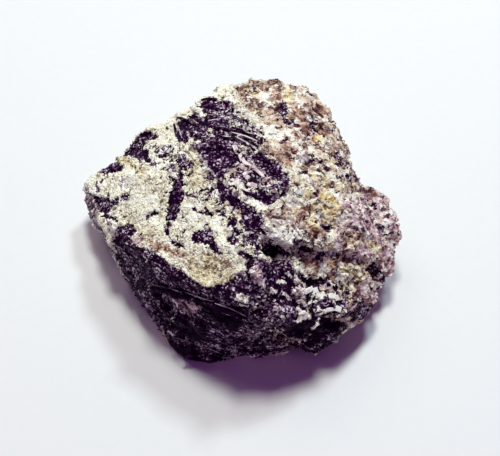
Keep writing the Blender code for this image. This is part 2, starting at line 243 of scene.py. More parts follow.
SCHORL_AND_SHADE_PATCHES = drawn(
    Mineral.SCHORL,
    ("upper patch at the left corner", (-275, 99, -271, 109, -248, 125, -234, 118, -225, 107, -227, 102,
        -243, 100, -257, 97)),
    ("tooth on the back rim", (-204, 153, -194, 173, -178, 169, -160, 164, -162, 157, -185, 157, -192,
        151, -208, 146)),
    ("wedge under the tooth", (-231, 127, -208, 148, -192, 146, -178, 127, -166, 116, -167, 106, -180,
        116, -201, 123, -215, 127)),
    ("speckled shelf", (-188, 150, -137, 158, -130, 137, -141, 120, -176, 127), 0, 0.45),
    ("speckled foot of the crown", (-162, 127, -137, 137, -109, 134, -104, 106, -116, 81, -137, 88, -155,
        106), 0, 0.55),
    ("blade across the pale face", (-139, 93, -120, 83, -118, 58, -125, 33, -134, 12, -151, 9, -151, 35,
        -143, 56, -136, 77)),
    ("foot of the blade", (-143, 14, -148, -9), 0.9, 0.85),
    ("tip of the crown", (-97, 215, -86, 225, -63, 229, -42, 225, -32, 217, -42, 210, -63, 204, -83, 204),
        0, 0.98),
    ("band of the crown", (-134, 185, -127, 194, -107, 192, -102, 206, -77, 195, -62, 204, -37, 197, -46,
        187, -63, 178, -88, 173, -109, 173, -111, 153, -127, 150, -136, 164, -130, 176), 0, 0.98),
    ("upper lath", (-77, 178, -44, 174, -12, 167), 0.5),
    ("middle lath", (-81, 162, -53, 160, -23, 155), 0.5),
    ("middle of the crown", (-97, 153, -90, 127, -79, 120, -70, 102, -58, 88, -44, 92, -39, 107, -19, 116,
        -5, 123, -18, 137, -25, 148, -33, 158, -60, 155, -79, 157), 0, 0.98),
    ("laths to the right of the crown", (-32, 176, -9, 167, 14, 151, 19, 134, 4, 139, -18, 144, -30, 155),
        0, 0.62),
    ("lath beside the white grains", (0, 171, 12, 157), 0.7),
    ("slanting band", (-7, 130, 18, 132, 46, 122, 63, 106, 72, 92, 70, 74, 56, 70, 46, 83, 30, 93, 11,
        111)),
    ("lower band", (-18, 70, 5, 63, 30, 67, 49, 62, 70, 70, 69, 58, 49, 51, 32, 41, 16, 42, 2, 55), 0,
        0.97),
    ("chain under the pocket", (-55, 74, -39, 53, -21, 39, 4, 25), 1.9, 0.88),
    ("band down the middle", (-28, 44, -4, 39, 18, 25, 25, 4, 7, -14, -11, 4, -21, 21), 0, 0.88),
    ("band to the crack", (-11, 0, 11, -11, 32, -28, 56, -39, 81, -39, 81, -51, 53, -53, 25, -46, 0, -32),
        0, 0.72),
    ("patch beside the band", (-39, 21, -25, 18, -18, 7, -30, 0, -41, 9), 0, 0.9),
    ("speckles under the crown", (-97, 67, -83, 70, -56, 74, -53, 63, -70, 49, -93, 48), 0, 0.5),
    ("dash in the cream", (-100, 32, -85, 28, -70, 23), 0.7),
    ("thin dash in the cream", (-183, 19, -164, 30), 0.5, 0.75),
    ("lower patch at the left corner", (-282, 60, -259, 56, -250, 48, -234, 58, -234, 44, -248, 32, -257,
        21, -271, 35), 0, 0.92),
    ("block at the left corner", (-231, 63, -215, 63, -213, 48, -229, 48)),
    ("dash at the left corner", (-259, 23, -236, 16), 0.7, 0.9),
    ("knob", (-241, -7, -238, 4, -220, 11, -208, 4, -204, -7, -211, -16, -206, -26, -229, -32)),
    (FRONT_FACE, (-245, -14, -210, -26, -164, -42, -120, -76, -92, -99, -79, -104, -49, -99, -25, -81, 0,
        -86, 21, -97, 32, -127, 62, -158, 88, -166, 123, -158, 167, -166, 176, -180, 141, -211, 88, -239,
        -18, -254, -130, -243, -166, -197, -201, -136, -232, -85), 0, 0.88),
    ("speckled front ledge", (-7, -60, 21, -53, 70, -56, 85, -88, 74, -113, 88, -137, 88, -166, 70, -173,
        21, -127, -11, -100), 0, 0.86),
    ("large patch in the cream", (-106, -14, -81, 4, -65, -5, -60, -25, -49, -46, -62, -44, -81, -30,
        -100, -25)),
    ("small patch in the cream", (-141, -23, -116, -33), 0.9, 0.9),
    ("right patch in the cream", (-44, -14, -32, -11, -23, -21, -26, -32, -41, -30)),
    ("patch under the band", (-7, -7, 18, -11, 21, -32, 7, -33, -5, -21), 0, 0.9),
    ("dash under the patches", (-21, -46, 7, -53), 0.9, 0.9),
    ("clump at the back", (51, 224, 67, 224, 69, 206, 60, 194, 51, 204), 0, 0.9),
    ("dash at the back", (53, 194, 76, 187), 0.9, 0.9),
    ("speck among the rust", (56, 153, 67, 162), 0.9),
    ("first dark grain of the edge", (104, 190, 114, 195, 118, 183, 107, 178), 0, 0.8),
    ("second dark grain of the edge", (104, 162, 109, 174, 120, 176, 118, 166), 0, 0.8),
    ("rim of the right edge", (144, 192, 148, 173), 0.7, 0.9),
    ("patch of the right edge", (151, 136, 158, 139, 166, 125, 160, 118)),
    ("triangle on the slope", (118, 123, 129, 114), 0.7),
    ("speckled strip of the right edge", (155, 120, 176, 114, 190, 92, 180, 77, 158, 88), 0, 0.5),
    ("speckled head of the strip", (148, 155, 158, 155, 197, 92, 187, 81, 167, 102), 0, 0.3),
    ("patch by the lower blocks", (155, -127, 176, -125, 174, -139, 162, -141)),
    ("lower right edge", (171, -144, 197, -137, 227, -130, 225, -148, 201, -166, 180, -169), 0, 0.85),
    # The cave, the crack and its end, the pits and the undercut are painted shade in hollows.
    ("cave", (74, -33, 120, -37, 148, -46, 151, -58, 125, -60, 102, -67, 85, -56), 0, 0.55),
    ("crack", (148, -51, 176, -53, 201, -63), 0.5, 0.55),
    ("end of the crack", (204, -63, 222, -74, 243, -90), 0.7, 0.8),
    ("pit in the ledge", (93, -92, 109, -86, 118, -97, 99, -106), 0, 0.7),
    ("lower pit", (111, -153, 141, -150, 150, -166, 127, -174)),
    ("undercut", (70, -173, 109, -162, 127, -183, 102, -206, 74, -197)),
    ("ring", (77, -32, 88, -23, 111, -26, 111, -35, 92, -37), 0.7, 0.9),
    ("speckled crown", (-130, 194, -32, 225, 21, 181, 32, 137, 62, 120, 70, 67, 11, 39, -44, 49, -88, 85,
        -106, 137), 0, 0.44),
    ("speckled ground by the band", (-55, 74, 21, 25, 88, -60, -7, -60, -44, 0, -79, 41), 0, 0.46),
    ("speckled left corner", (-289, 92, -229, 120, -208, 67, -225, 18, -271, 21), 0, 0.36),
    ("speckled back of the slope", (21, 234, 120, 239, 148, 173, 120, 134, 56, 137, 21, 190), 0, 0.16),
    ("speckled foot of the slope", (74, -14, 141, 0, 222, -35, 229, -60, 123, -53, 81, -39), 0, 0.22),
    ("speckled lower right", (81, -77, 158, -95, 180, -127, 222, -137, 187, -158, 109, -158, 81, -127), 0,
        0.56),
    ("speckled right block", (158, 56, 201, 81, 271, 25, 271, -60, 247, -106, 197, -60), 0, 0.03),
    ("mixed crown", (-113, 194, -77, 204, -42, 201, -25, 183, -18, 162, -39, 153, -77, 153, -109, 162), 0,
        0.7),
    ("fibres of the front face", (-21, -211, -7, -171, 21, -127, 46, -134, 35, -166, 4, -206), 0, 0.9),
    ("thin dash on the slope", (67, 139, 79, 136), 0.4, 0.8),
    ("seam under the fan", (127, 4, 151, -5, 173, -12), 0.5, 0.7),
    ("spot of the right block", (217, 44, 222, 37), 0.7, 0.8),
    ("second spot of the right block", (227, 5, 234, -5), 0.7, 0.8),
    ("seam of the right block", (218, -70, 234, -95), 0.5, 0.8),
    ("specks at the back", (109, 192, 107, 167), 0.7, 0.6),
    # The hole and the pocket's dark gaps are painted shade between grains.
    ("hole beside the clear grain", (100, 100, 90, 97), 0.5, 0.9),
    ("dark gaps of the pocket", (-49, 114, -21, 127, 11, 114, 39, 88, 32, 67, 0, 63, -33, 77), 0, 0.58),
    ("speckled tip of the crown", (-67, 229, -32, 222, -18, 204, -32, 187, -67, 190, -81, 204), 0, 0.6),
    ("streaks over the crown", (-42, 208, -11, 197, 11, 180, 0, 166, -32, 176, -53, 190), 0, 0.3),
    ("specks of the pale left", (-130, 56, -79, 49, -25, 11, -25, -14, -88, -7, -120, 25), 0, 0.3),
    ("streaks right of the crown", (-35, 201, -7, 190, 21, 169, 32, 137, 4, 130, -18, 144, -28, 169), 0,
        0.5),
)
SLOPE_PATCHES = drawn(
    Mineral.SLOPE,
    ("brown slope", (-39, 278, 21, 282, 88, 268, 134, 243, 166, 194, 169, 155, 215, 88, 285, -12, 261,
        -106, 218, -173, 120, -169, 93, -60, 21, 25, 70, 55, 76, 99, 21, 137, 21, 187, -21, 225)),
)
OCHRE_PATCHES = drawn(
    Mineral.OCHRE,
    ("fan at the pale face's foot", (-116, -60, -88, -41, -44, -46, -25, -70, -32, -95, -62, -106, -88,
        -102, -109, -77), 0, 0.85),
    ("stain under the crown", (-109, 120, -93, 123, -83, 109, -76, 81, -88, 70, -107, 77), 0, 0.9),
    ("stain right of the blade", (-95, 67, -63, 49, -56, 18, -81, 25), 0, 0.62),
    ("stain under the wedge", (-232, 123, -208, 113, -190, 102), 1.6, 0.75),
    ("foot of the pale face's left", (-225, 25, -176, 11, -148, -14, -176, -32, -215, -7), 0, 0.52),
    ("cream of the lower right", (158, -70, 176, -60, 201, -67, 203, -92, 181, -109, 153, -114, 157, -92),
        0, 0.8),
    ("streak by the blade", (-150, 81, -155, 56, -158, 25), 0.7, 0.7),
    ("mixed into the slope", (-39, 278, 88, 268, 166, 194, 169, 155, 187, 88, 183, 5, 180, -74, 208, -120,
        218, -162, 120, -158, 93, -60, 21, 25, 70, 55, 70, 120, 21, 190), 0, 0.36),
    ("tan edge of the left wall", (-158, -178, -146, -203), 0.5, 0.8, True),
    ("tan grains at the back", (76, 213, 97, 215, 100, 201, 85, 194, 74, 201), 0, 0.8),
    ("tan spot of the right edge", (120, 176, 136, 173, 134, 155, 122, 153), 0, 0.9),
    ("cream strip by the right block", (180, 83, 201, 70, 197, 56, 180, 67), 0, 0.7),
    ("yellow strip of the slope", (120, 109, 137, 106, 141, 67, 127, 67), 0, 0.8),
    ("yellow of the slope's middle", (88, 92, 127, 102, 151, 63, 130, 39, 88, 42), 0, 0.5),
    ("warm middle of the slope", (74, 137, 166, 137, 180, 67, 167, 5, 88, -7, 63, 32), 0, 0.5),
    ("yellow band of the pale face", (-215, 120, -183, 109, -151, 85, -148, 56, -176, 56, -204, 85), 0,
        0.42),
)
GOLD_PATCHES = drawn(
    Mineral.GOLD,
    ("fan on the slope", (102, 12, 109, 41, 127, 65, 155, 56, 157, 28, 141, 11, 120, 4), 0, 1.4),
    ("spot at the back", (58, 248, 72, 250, 74, 231, 60, 224)),
    ("spot of the right edge", (114, 167, 129, 169, 130, 151, 116, 151), 0, 0.9),
    ("middle of the slope", (81, 67, 111, 76, 116, 49, 88, 39), 0, 0.6),
    ("streak of the right block", (201, -14, 218, -32, 231, -48), 1.2, 0.8),
    ("strip of the slope", (120, 111, 127, 85, 141, 63), 1.4, 0.5),
)
RUST_PATCHES = drawn(
    Mineral.RUST,
    ("rust at the back", (19, 220, 35, 243, 56, 255, 60, 239, 49, 203, 26, 199), 0, 0.95),
    ("upper slope", (62, 211, 88, 232, 120, 225, 136, 199, 122, 151, 88, 141, 69, 173), 0, 0.85),
    ("seam above the band", (21, 144, 63, 127, 83, 123), 1.1, 0.6),
    ("under the fan", (77, 25, 106, 35, 141, 9, 155, -5, 120, -21, 88, -9), 0, 0.9),
    ("streak of the pale face", (-176, -26, -148, -37, -116, -49), 1.2, 0.85),
    ("floor of the cave", (93, -49, 116, -49, 118, -67, 99, -69), 0, 0.8, True),
    ("rim of the slope's foot", (21, 35, 39, 11, 74, -7), 1.1, 0.5),
    ("floor of the pit", (93, -92, 109, -86, 118, -97, 99, -106), 0, 0.7),
    ("brown foot of the front", (21, -194, 83, -187, 88, -211, 35, -222), 0, 0.45, True),
    ("spot at the rim", (35, 255, 55, 257, 58, 245, 41, 239), 0, 0.9),
    ("edge of the back slope", (93, 239, 109, 234, 134, 208, 143, 183, 132, 169, 120, 194, 102, 222), 0,
        0.7),
    ("red seam by the fan", (155, 49, 167, 39, 176, 25), 0.5, 0.9),
    ("red seam under the fan", (134, 7, 158, -2, 180, -7), 0.5, 0.9),
    ("shoulder of the right block", (197, 81, 222, 74, 232, 56, 211, 56), 0, 0.7),
    ("grains above the fan", (76, 48, 122, 48, 116, 25, 81, 25), 0, 0.6),
    ("strip left of the right block", (208, -21, 222, -42, 231, -49), 1.1, 0.6),
    ("brown of the cave", (88, -49, 134, -46, 176, -55, 176, -63, 127, -70, 95, -67), 0, 0.8),
    ("brown of the upper slope", (21, 234, 123, 239, 167, 155, 141, 120, 70, 120, 21, 173), 0, 0.5),
    ("brown grains by the chain", (-42, 49, -18, 39, 11, 14, 21, -11, 4, -14, -25, 11), 0, 0.5),
)
ROSE_PATCHES = drawn(
    Mineral.ROSE,
    ("pocket in the crown", (-49, 114, -21, 127, 11, 114, 39, 88, 32, 67, 0, 63, -33, 77), 0, 0.6),
    ("upper right edge", (88, 241, 120, 236, 151, 194, 153, 162, 134, 158, 120, 194, 97, 222), 0, 0.6),
    ("patch on the slope", (148, 49, 167, 55, 201, 39, 203, 0, 176, -14, 157, 11), 0, 0.9),
    ("right block", (190, 85, 229, 81, 271, 25, 278, -12, 264, -53, 247, -106, 222, -77, 197, -39, 194, 5,
        183, 49), 0, 0.95),
    ("foot of the slope", (102, -14, 141, -7, 176, -21, 211, -49, 176, -51, 141, -48, 116, -41), 0, 0.55),
    ("lower right", (180, -104, 211, -95, 232, -120, 211, -144, 183, -141), 0, 0.7),
    ("clump in the ledge", (0, -70, 18, -65, 30, -102, 16, -107, 0, -86), 0, 0.9, True),
    ("patch in the front face", (-148, -122, -116, -127, -81, -139, -99, -153, -125, -146), 0, 0.85,
        True),
    ("grains by the knob", (-210, -14, -188, -18, -192, -30, -206, -30), 0, 0.8, True),
    ("grains of the ledge", (77, -100, 97, -100, 120, -127, 109, -141, 88, -137), 0, 0.7),
    ("mixed into the slope", (21, 243, 88, 268, 166, 194, 169, 155, 215, 88, 285, -12, 261, -106, 218,
        -173, 120, -169, 93, -60, 21, 25, 70, 55, 70, 120, 21, 190), 0, 0.44),
    ("dark grains of the slope", (86, 104, 102, 104, 102, 95, 88, 95), 0, 0.8),
    ("ground of the ledge's right", (21, -60, 74, -60, 99, -100, 99, -155, 70, -166, 32, -127), 0, 0.6),
)
GREY_PATCHES = drawn(
    Mineral.GREY,
    ("left wall", (-292, 70, -268, -7, -229, -95, -180, -171, -141, -222), 1.8, 0.8),
    ("strip of the right edge", (151, 155, 173, 120, 197, 85), 1.8, 0.6),
    ("ground of the front face", (-245, -14, -210, -26, -164, -42, -120, -76, -92, -99, -79, -104, -49,
        -99, -25, -81, 0, -86, 21, -97, 32, -127, 62, -158, 88, -166, 123, -158, 167, -166, 176, -180,
        141, -211, 88, -239, -18, -254, -130, -243, -166, -197)),
    ("ridge of the front face", (-7, -136, 21, -120, 46, -144, 21, -180, -4, -206, -18, -218, -12, -171),
        0, 0.8),
    ("first clear grain", (81, 132, 104, 132, 102, 109, 88, 109), 0, 0.9),
    ("second clear grain", (95, 92, 109, 93, 107, 76, 95, 76), 0, 0.8),
    ("ground of the crown", (-130, 194, -32, 218, 14, 181, 25, 137, 70, 111, 74, 67, 11, 39, -44, 49, -88,
        85, -106, 137), 0, 0.5),
    ("tooth", (-204, 153, -194, 174, -176, 171, -158, 164, -162, 157, -185, 157, -192, 151, -208, 146), 0,
        0.5),
    ("fibrous part of the front face", (0, -127, 21, -109, 53, -127, 74, -158, 67, -187, 32, -206, -7,
        -215, -21, -206, -12, -171), 0, 0.4, True),
    ("ground of the ledge", (-18, -60, 21, -49, 74, -60, 95, -100, 95, -148, 74, -176, 21, -134, -18,
        -109), 0, 0.5),
    ("pale ground between the bands", (-46, 88, -25, 113, 0, 116, -7, 92, -25, 67), 0, 0.5),
)
WHITE_PATCHES = drawn(
    Mineral.WHITE,
    ("shelf beside the tooth", (-180, 146, -150, 153, -130, 144, -141, 123, -169, 129), 0, 0.7),
    ("bright middle of the pale face", (-197, 67, -173, 85, -146, 74, -157, 33, -185, 37), 0, 0.4),
    ("bright ground right of the blade", (-120, 25, -79, 19, -25, 11, -12, -14, -25, -39, -62, -32, -106,
        -7), 0, 0.4),
    ("grains at the back", (19, 171, 32, 185, 55, 173, 48, 158, 26, 160), 0, 0.8),
    ("clear grain at the back", (16, 238, 32, 239, 35, 222, 19, 222), 0, 0.8),
    ("back rim", (-25, 254, 21, 250), 1.4, 0.5),
    ("ledge over the crack", (28, -7, 53, -7, 76, -23, 67, -35, 48, -26, 30, -18), 0, 1, True),
    ("beside the fan", (62, 48, 88, 77, 100, 63, 88, 37, 70, 33), 0, 0.8),
    ("under the lower band", (21, 25, 35, 26, 58, 4, 46, -9, 28, 7), 0, 0.6),
    ("shelf over the crown", (-106, 218, -79, 236, -25, 250, -18, 225, -42, 225, -67, 232), 0, 0.5),
    ("mixed into the slope", (-39, 278, 88, 268, 166, 194, 169, 155, 187, 88, 183, 5, 180, -74, 208, -120,
        218, -162, 120, -158, 93, -60, 21, 25, 70, 55, 70, 120, 21, 190), 0, 0.36),
    ("grains in the front face", (-28, -118, -12, -114, 2, -123, -2, -136, -18, -132), 0, 0.9, True),
    ("pale green grain", (102, 148, 116, 148, 118, 136, 104, 134), 0, 0.7),
    ("pale ground of the slope's foot", (116, -14, 158, -14, 162, -39, 127, -41), 0, 0.6),
    ("ground beside the clear grains", (104, 137, 134, 134, 141, 116, 109, 109), 0, 0.6),
    ("mixed into the right block", (190, 85, 229, 81, 271, 25, 278, -12, 264, -53, 247, -106, 222, -127,
        190, -127, 176, -60, 194, 5, 183, 49), 0, 0.3),
    ("ground over the crack", (25, 0, 56, 4, 88, -7, 109, -21, 81, -32, 53, -28, 32, -21), 0, 0.8),
    ("pale grains of the lower right", (88, -113, 134, -109, 166, -127, 158, -155, 116, -155, 92, -137),
        0, 0.85),
    ("bright lip of the crack", (35, -11, 60, -7, 76, -21, 70, -32, 53, -30, 39, -21), 0, 1.2),
    ("second ground of the lower right", (81, -70, 141, -77, 166, -99, 151, -120, 88, -109), 0, 0.6),
    ("white streaks right of the crown", (-32, 218, 11, 218, 25, 190, 0, 180, -25, 194), 0, 0.5),
)
# The darkest schorl; in the groove, the hollows, the pits and the cave it is painted shade.
DEEP_AND_SHADE_PATCHES = drawn(
    Mineral.DEEP_AND_SHADE,
    ("groove under the ridge", (-173, -107, -137, -114, -106, -123, -67, -139, -32, -150, -12, -162),
        1.1),
    ("middle of the front face", (-79, -130, -49, -139, -25, -155, -11, -176, -25, -187, -53, -173, -79,
        -162, -95, -148), 0, 0.95),
    ("upper hollow of the front face", (-158, -137, -141, -155, -106, -160, -99, -173, -130, -171, -155,
        -155), 0, 0.9),
    ("left hollow of the front face", (-137, -169, -102, -173, -77, -185, -81, -201, -109, -201, -130,
        -190, -144, -180)),
    ("foot of the front face", (-144, -203, -106, -215, -79, -225, -88, -239, -127, -236), 0, 0.9),
    ("hollow under the ledge", (70, -176, 95, -166, 127, -158, 151, -158, 158, -176, 127, -197, 102, -215,
        74, -208, 53, -197)),
    ("dark pit", (90, -85, 109, -81, 118, -97, 102, -106, 88, -99), 0, 0.35),
    ("dark lower pit", (111, -151, 141, -148, 151, -162, 130, -176, 113, -169), 0, 0.5),
    ("bottom of the cave", (83, -37, 120, -37, 125, -56, 102, -63, 88, -55), 0, 0.45),
    ("dark blade", (-139, 93, -120, 83, -118, 58, -125, 33, -134, 12, -151, 9, -151, 35, -143, 56, -136,
        77), 0, 0.5),
)
PATCHES = (
    SCHORL_AND_SHADE_PATCHES + SLOPE_PATCHES + OCHRE_PATCHES + GOLD_PATCHES + RUST_PATCHES +
    ROSE_PATCHES + GREY_PATCHES + WHITE_PATCHES + DEEP_AND_SHADE_PATCHES
)


@dataclass(frozen=True)
class MineralMap:
    """Spreads the patches over the stone, and grows minerals by rule on the sides they don't reach.

    Attributes:
        edge: how far a patch fades at its border, in millimetres.
        soft_edge: how far one does that only speckles its ground.
        ragged: how far borders wander, in millimetres.
        grain_way: how schorl columns lie where no patch says.
        schorl_size: the size of hidden schorl masses across the columns' way, in millimetres.
        stretch: the share of a step along that way that doesn't count.
        zone_size: the size of the zones of hidden ground, in millimetres.
        stain_size: the size of the stains on it, in millimetres.
        deep_size: the size of the darkest schorl masses, in millimetres.
        stray: the size in metres, strength and level of the schorl that shows outside the patches.
        solid_share: the least share that a patch with a sharp border has.
        turned: how squarely the surface faces the sight line where a patch starts to fade, and how much
            more it turns until the patch is gone.
        least_facing: the least that the surface is taken to face the sight line where columns lie on it.
        wandering: the sizes of the borders' wandering in metres, and how much each counts.
        speckles: the sizes of schorl's specks in metres, and how much each counts.
        seed: what sets the borders' wandering. Without one it would differ from run to run.
    """

    edge: float = 0.45
    soft_edge: float = 1.2
    ragged: float = 0.3
    grain_way: Vector = Vector((0.92, -0.34, -0.2))
    schorl_size: float = 5.5
    stretch: float = 0.62
    zone_size: float = 9.0
    stain_size: float = 5.0
    deep_size: float = 3.6
    stray: tuple[float, float, float] = (4.5 * MM, 0.5, -0.7)
    solid_share: float = 0.65
    turned: tuple[float, float] = (0.22, 0.3)
    least_facing: float = 0.3
    wandering: tuple[tuple[float, float], ...] = ((2.6 * MM, 0.84), (0.9 * MM, 0.56))
    speckles: tuple[tuple[float, float], ...] = ((1.1 * MM, 0.75), (0.55 * MM, 0.7))
    seed: int = 1

    def wander(self, points: np.ndarray) -> np.ndarray:
        """Returns a shift of each point on the plane that roughens the borders."""
        noise.seed_set(self.seed)
        shift = np.zeros((len(points), 3))
        for size, part in self.wandering:
            shift += np.array([noise.noise_vector(Vector(p) / size) for p in points]) * part
        return shift[:, :2] * self.ragged

    def hidden(self, normals: np.ndarray) -> np.ndarray:
        """Returns 0 where the sight line reaches and 1 where it doesn't."""
        facing = normals @ np.array(SIGHT.back)
        return np.clip((self.turned[0] - facing) / self.turned[1], 0.0, 1.0)

    def by_rule(self, points: np.ndarray) -> dict[Mineral, np.ndarray]:
        """Grows minerals on sides that no patch is drawn for.

        Args:
            points: the mesh's places in metres.

        Returns:
            Each mineral's level at each point.
        """
        spots = [Vector(p) / MM for p in points]
        way = self.grain_way.normalized()
        long = [at - way * at.dot(way) * self.stretch for at in spots]
        mass = self._pattern(long, self.schorl_size) + 0.5 * self._pattern(long, self.schorl_size / 2.7)
        zone = self._pattern(spots, self.zone_size, Vector((7.0, 3.0, 1.0)))
        stain = self._pattern(spots, self.stain_size, Vector((1.0, 9.0, 4.0)))
        level = {
            Mineral.SLOPE: 0.5 + (points[:, 0] / MM - 4.0) / 10.0 + zone,
            Mineral.OCHRE: stain * 2.0 - 0.2,
            Mineral.GOLD: np.zeros(len(points)),
            Mineral.RUST: -stain * 2.4 - 0.3,
            Mineral.ROSE: zone * 2.0 - 0.1,
            Mineral.GREY: -zone * 1.6 - 0.2,
            Mineral.WHITE: stain * zone * 6.0,
            Mineral.DEEP_AND_SHADE: self._pattern(spots, self.deep_size) * 1.6,
        }
        level = {mineral: np.clip(found, 0.0, 1.0) for mineral, found in level.items()}
        return level | {Mineral.SCHORL: np.clip(mass * 3.4 + 0.25, -1.0, 1.0)}

    @staticmethod
    def _pattern(spots: list[Vector], size: float, start: Vector = Vector()) -> np.ndarray:
        """Returns smooth noise, from about -1 to 1, whose features have this size."""
        return np.array([noise.noise(at / size + start) for at in spots])

    def levels(self, points: np.ndarray, normals: np.ndarray) -> dict[Mineral, np.ndarray]:
        """Works out every mineral's level over a mesh.

        Args:
            points: the mesh's places in metres.
            normals: the smoothed way out at each.

        Returns:
            Each mineral's level: 0 to 1, and for schorl -1 to 1.
        """
        spots = SIGHT.to_plane(points) + self.wander(points)
        drawn = {mineral: np.zeros(len(points)) for mineral in Mineral}
        size, strength, level = self.stray
        drawn[Mineral.SCHORL] = self._pattern([Vector(p) for p in points], size) * strength + level
        bare = np.zeros(len(points))
        for patch in PATCHES:
            reach = patch.reaches(spots, self.soft_edge)
            edge = self.edge if patch.share > self.solid_share else self.soft_edge
            depth = np.clip(patch.depth(spots[reach]) / edge, -1.0, 1.0)
            level = drawn[patch.mineral]
            if patch.mineral is Mineral.SCHORL:
                found = np.where(depth > 0, depth * (patch.share * 2.0 - 1.0), depth)
                if patch.share < 0.5:
                    found = (depth * 0.5 + 0.5) * (patch.share * 2.0) - 1.0
            else:
                found = np.clip(depth * 0.5 + 0.5, 0.0, 1.0) * patch.share
            level[reach] = np.maximum(level[reach], found)
            if patch.over:
                bare[reach] = np.maximum(bare[reach], np.clip(depth * 2.0, 0.0, 1.0) * patch.share)
        grown, hidden = self.by_rule(points), self.hidden(normals)
        found = {m: drawn[m] * (1.0 - hidden) + grown[m] * hidden for m in Mineral}
        found[Mineral.SCHORL] = (found[Mineral.SCHORL] + self.speckle(points)) * (1.0 - bare) - bare
        return found

    def speckle(self, points: np.ndarray) -> np.ndarray:
        """Returns the unevenness that breaks schorl's borders up into specks."""
        spots = [Vector(p) for p in points]
        return sum(self._pattern(spots, size) * part for size, part in self.speckles)

    def columns_way(self, points: np.ndarray, normals: np.ndarray) -> np.ndarray:
        """Finds the way along the surface that schorl columns take.

        Args:
            points: the mesh's places in metres.
            normals: the smoothed way out at each.

        Returns:
            A unit vector for each point.
        """
        spots = SIGHT.to_plane(points)
        way = np.tile(np.array(self.grain_way), (len(points), 1))
        near = np.zeros(len(points))
        right, up, back = np.array((1.0, 0.0, 0.0)), np.array(SIGHT.up), np.array(SIGHT.back)
        for patch in PATCHES:
            if patch.mineral is not Mineral.SCHORL or patch.name == FRONT_FACE:
                continue
            reach = np.flatnonzero(patch.reaches(spots, self.edge))
            depth = patch.depth(spots[reach])
            taken = reach[depth > near[reach]]
            near[taken] = depth[depth > near[reach]]
            way[taken] = right * patch.direction[0] + up * patch.direction[1]
        facing = np.maximum(normals @ back, self.least_facing)
        way -= back * ((way * normals).sum(axis=1) / facing)[:, None]
        return way / np.linalg.norm(way, axis=1)[:, None]


# ---- node trees ----


class Wire:
    """An output socket of a node tree, with the sums that the trees need."""

    def __init__(self, graph: Graph, socket: bpy.types.NodeSocket) -> None:
        """Keeps the socket and the graph that it belongs to."""
        self.graph = graph
        self.socket = socket

    def _math(self, operation: str, first: Any, second: Any) -> Wire:
        """Returns a Math node's result for two values or wires."""
        return self.graph.node("ShaderNodeMath", {"operation": operation}, [first, second])["Value"]

    def __add__(self, other: Any) -> Wire:
        """Returns self + other."""
        return self._math("ADD", self, other)

    def __radd__(self, other: Any) -> Wire:
        """Returns other + self."""
        return self._math("ADD", other, self)

    def __sub__(self, other: Any) -> Wire:
        """Returns self - other."""
        return self._math("SUBTRACT", self, other)

    def __rsub__(self, other: Any) -> Wire:
        """Returns other - self."""
        return self._math("SUBTRACT", other, self)

    def __mul__(self, other: Any) -> Wire:
        """Returns self * other."""
        return self._math("MULTIPLY", self, other)

    def __rmul__(self, other: Any) -> Wire:
        """Returns other * self."""
        return self._math("MULTIPLY", other, self)


class Made:
    """A node that a graph has made."""

    def __init__(self, graph: Graph, node: bpy.types.Node) -> None:
        """Keeps the node and the graph that it belongs to."""
        self.graph = graph
        self.node = node

    def __getitem__(self, name: str) -> Wire:
        """Returns the output in use that has this name."""
        return Wire(self.graph, next(s for s in self.node.outputs if s.name == name and s.enabled))


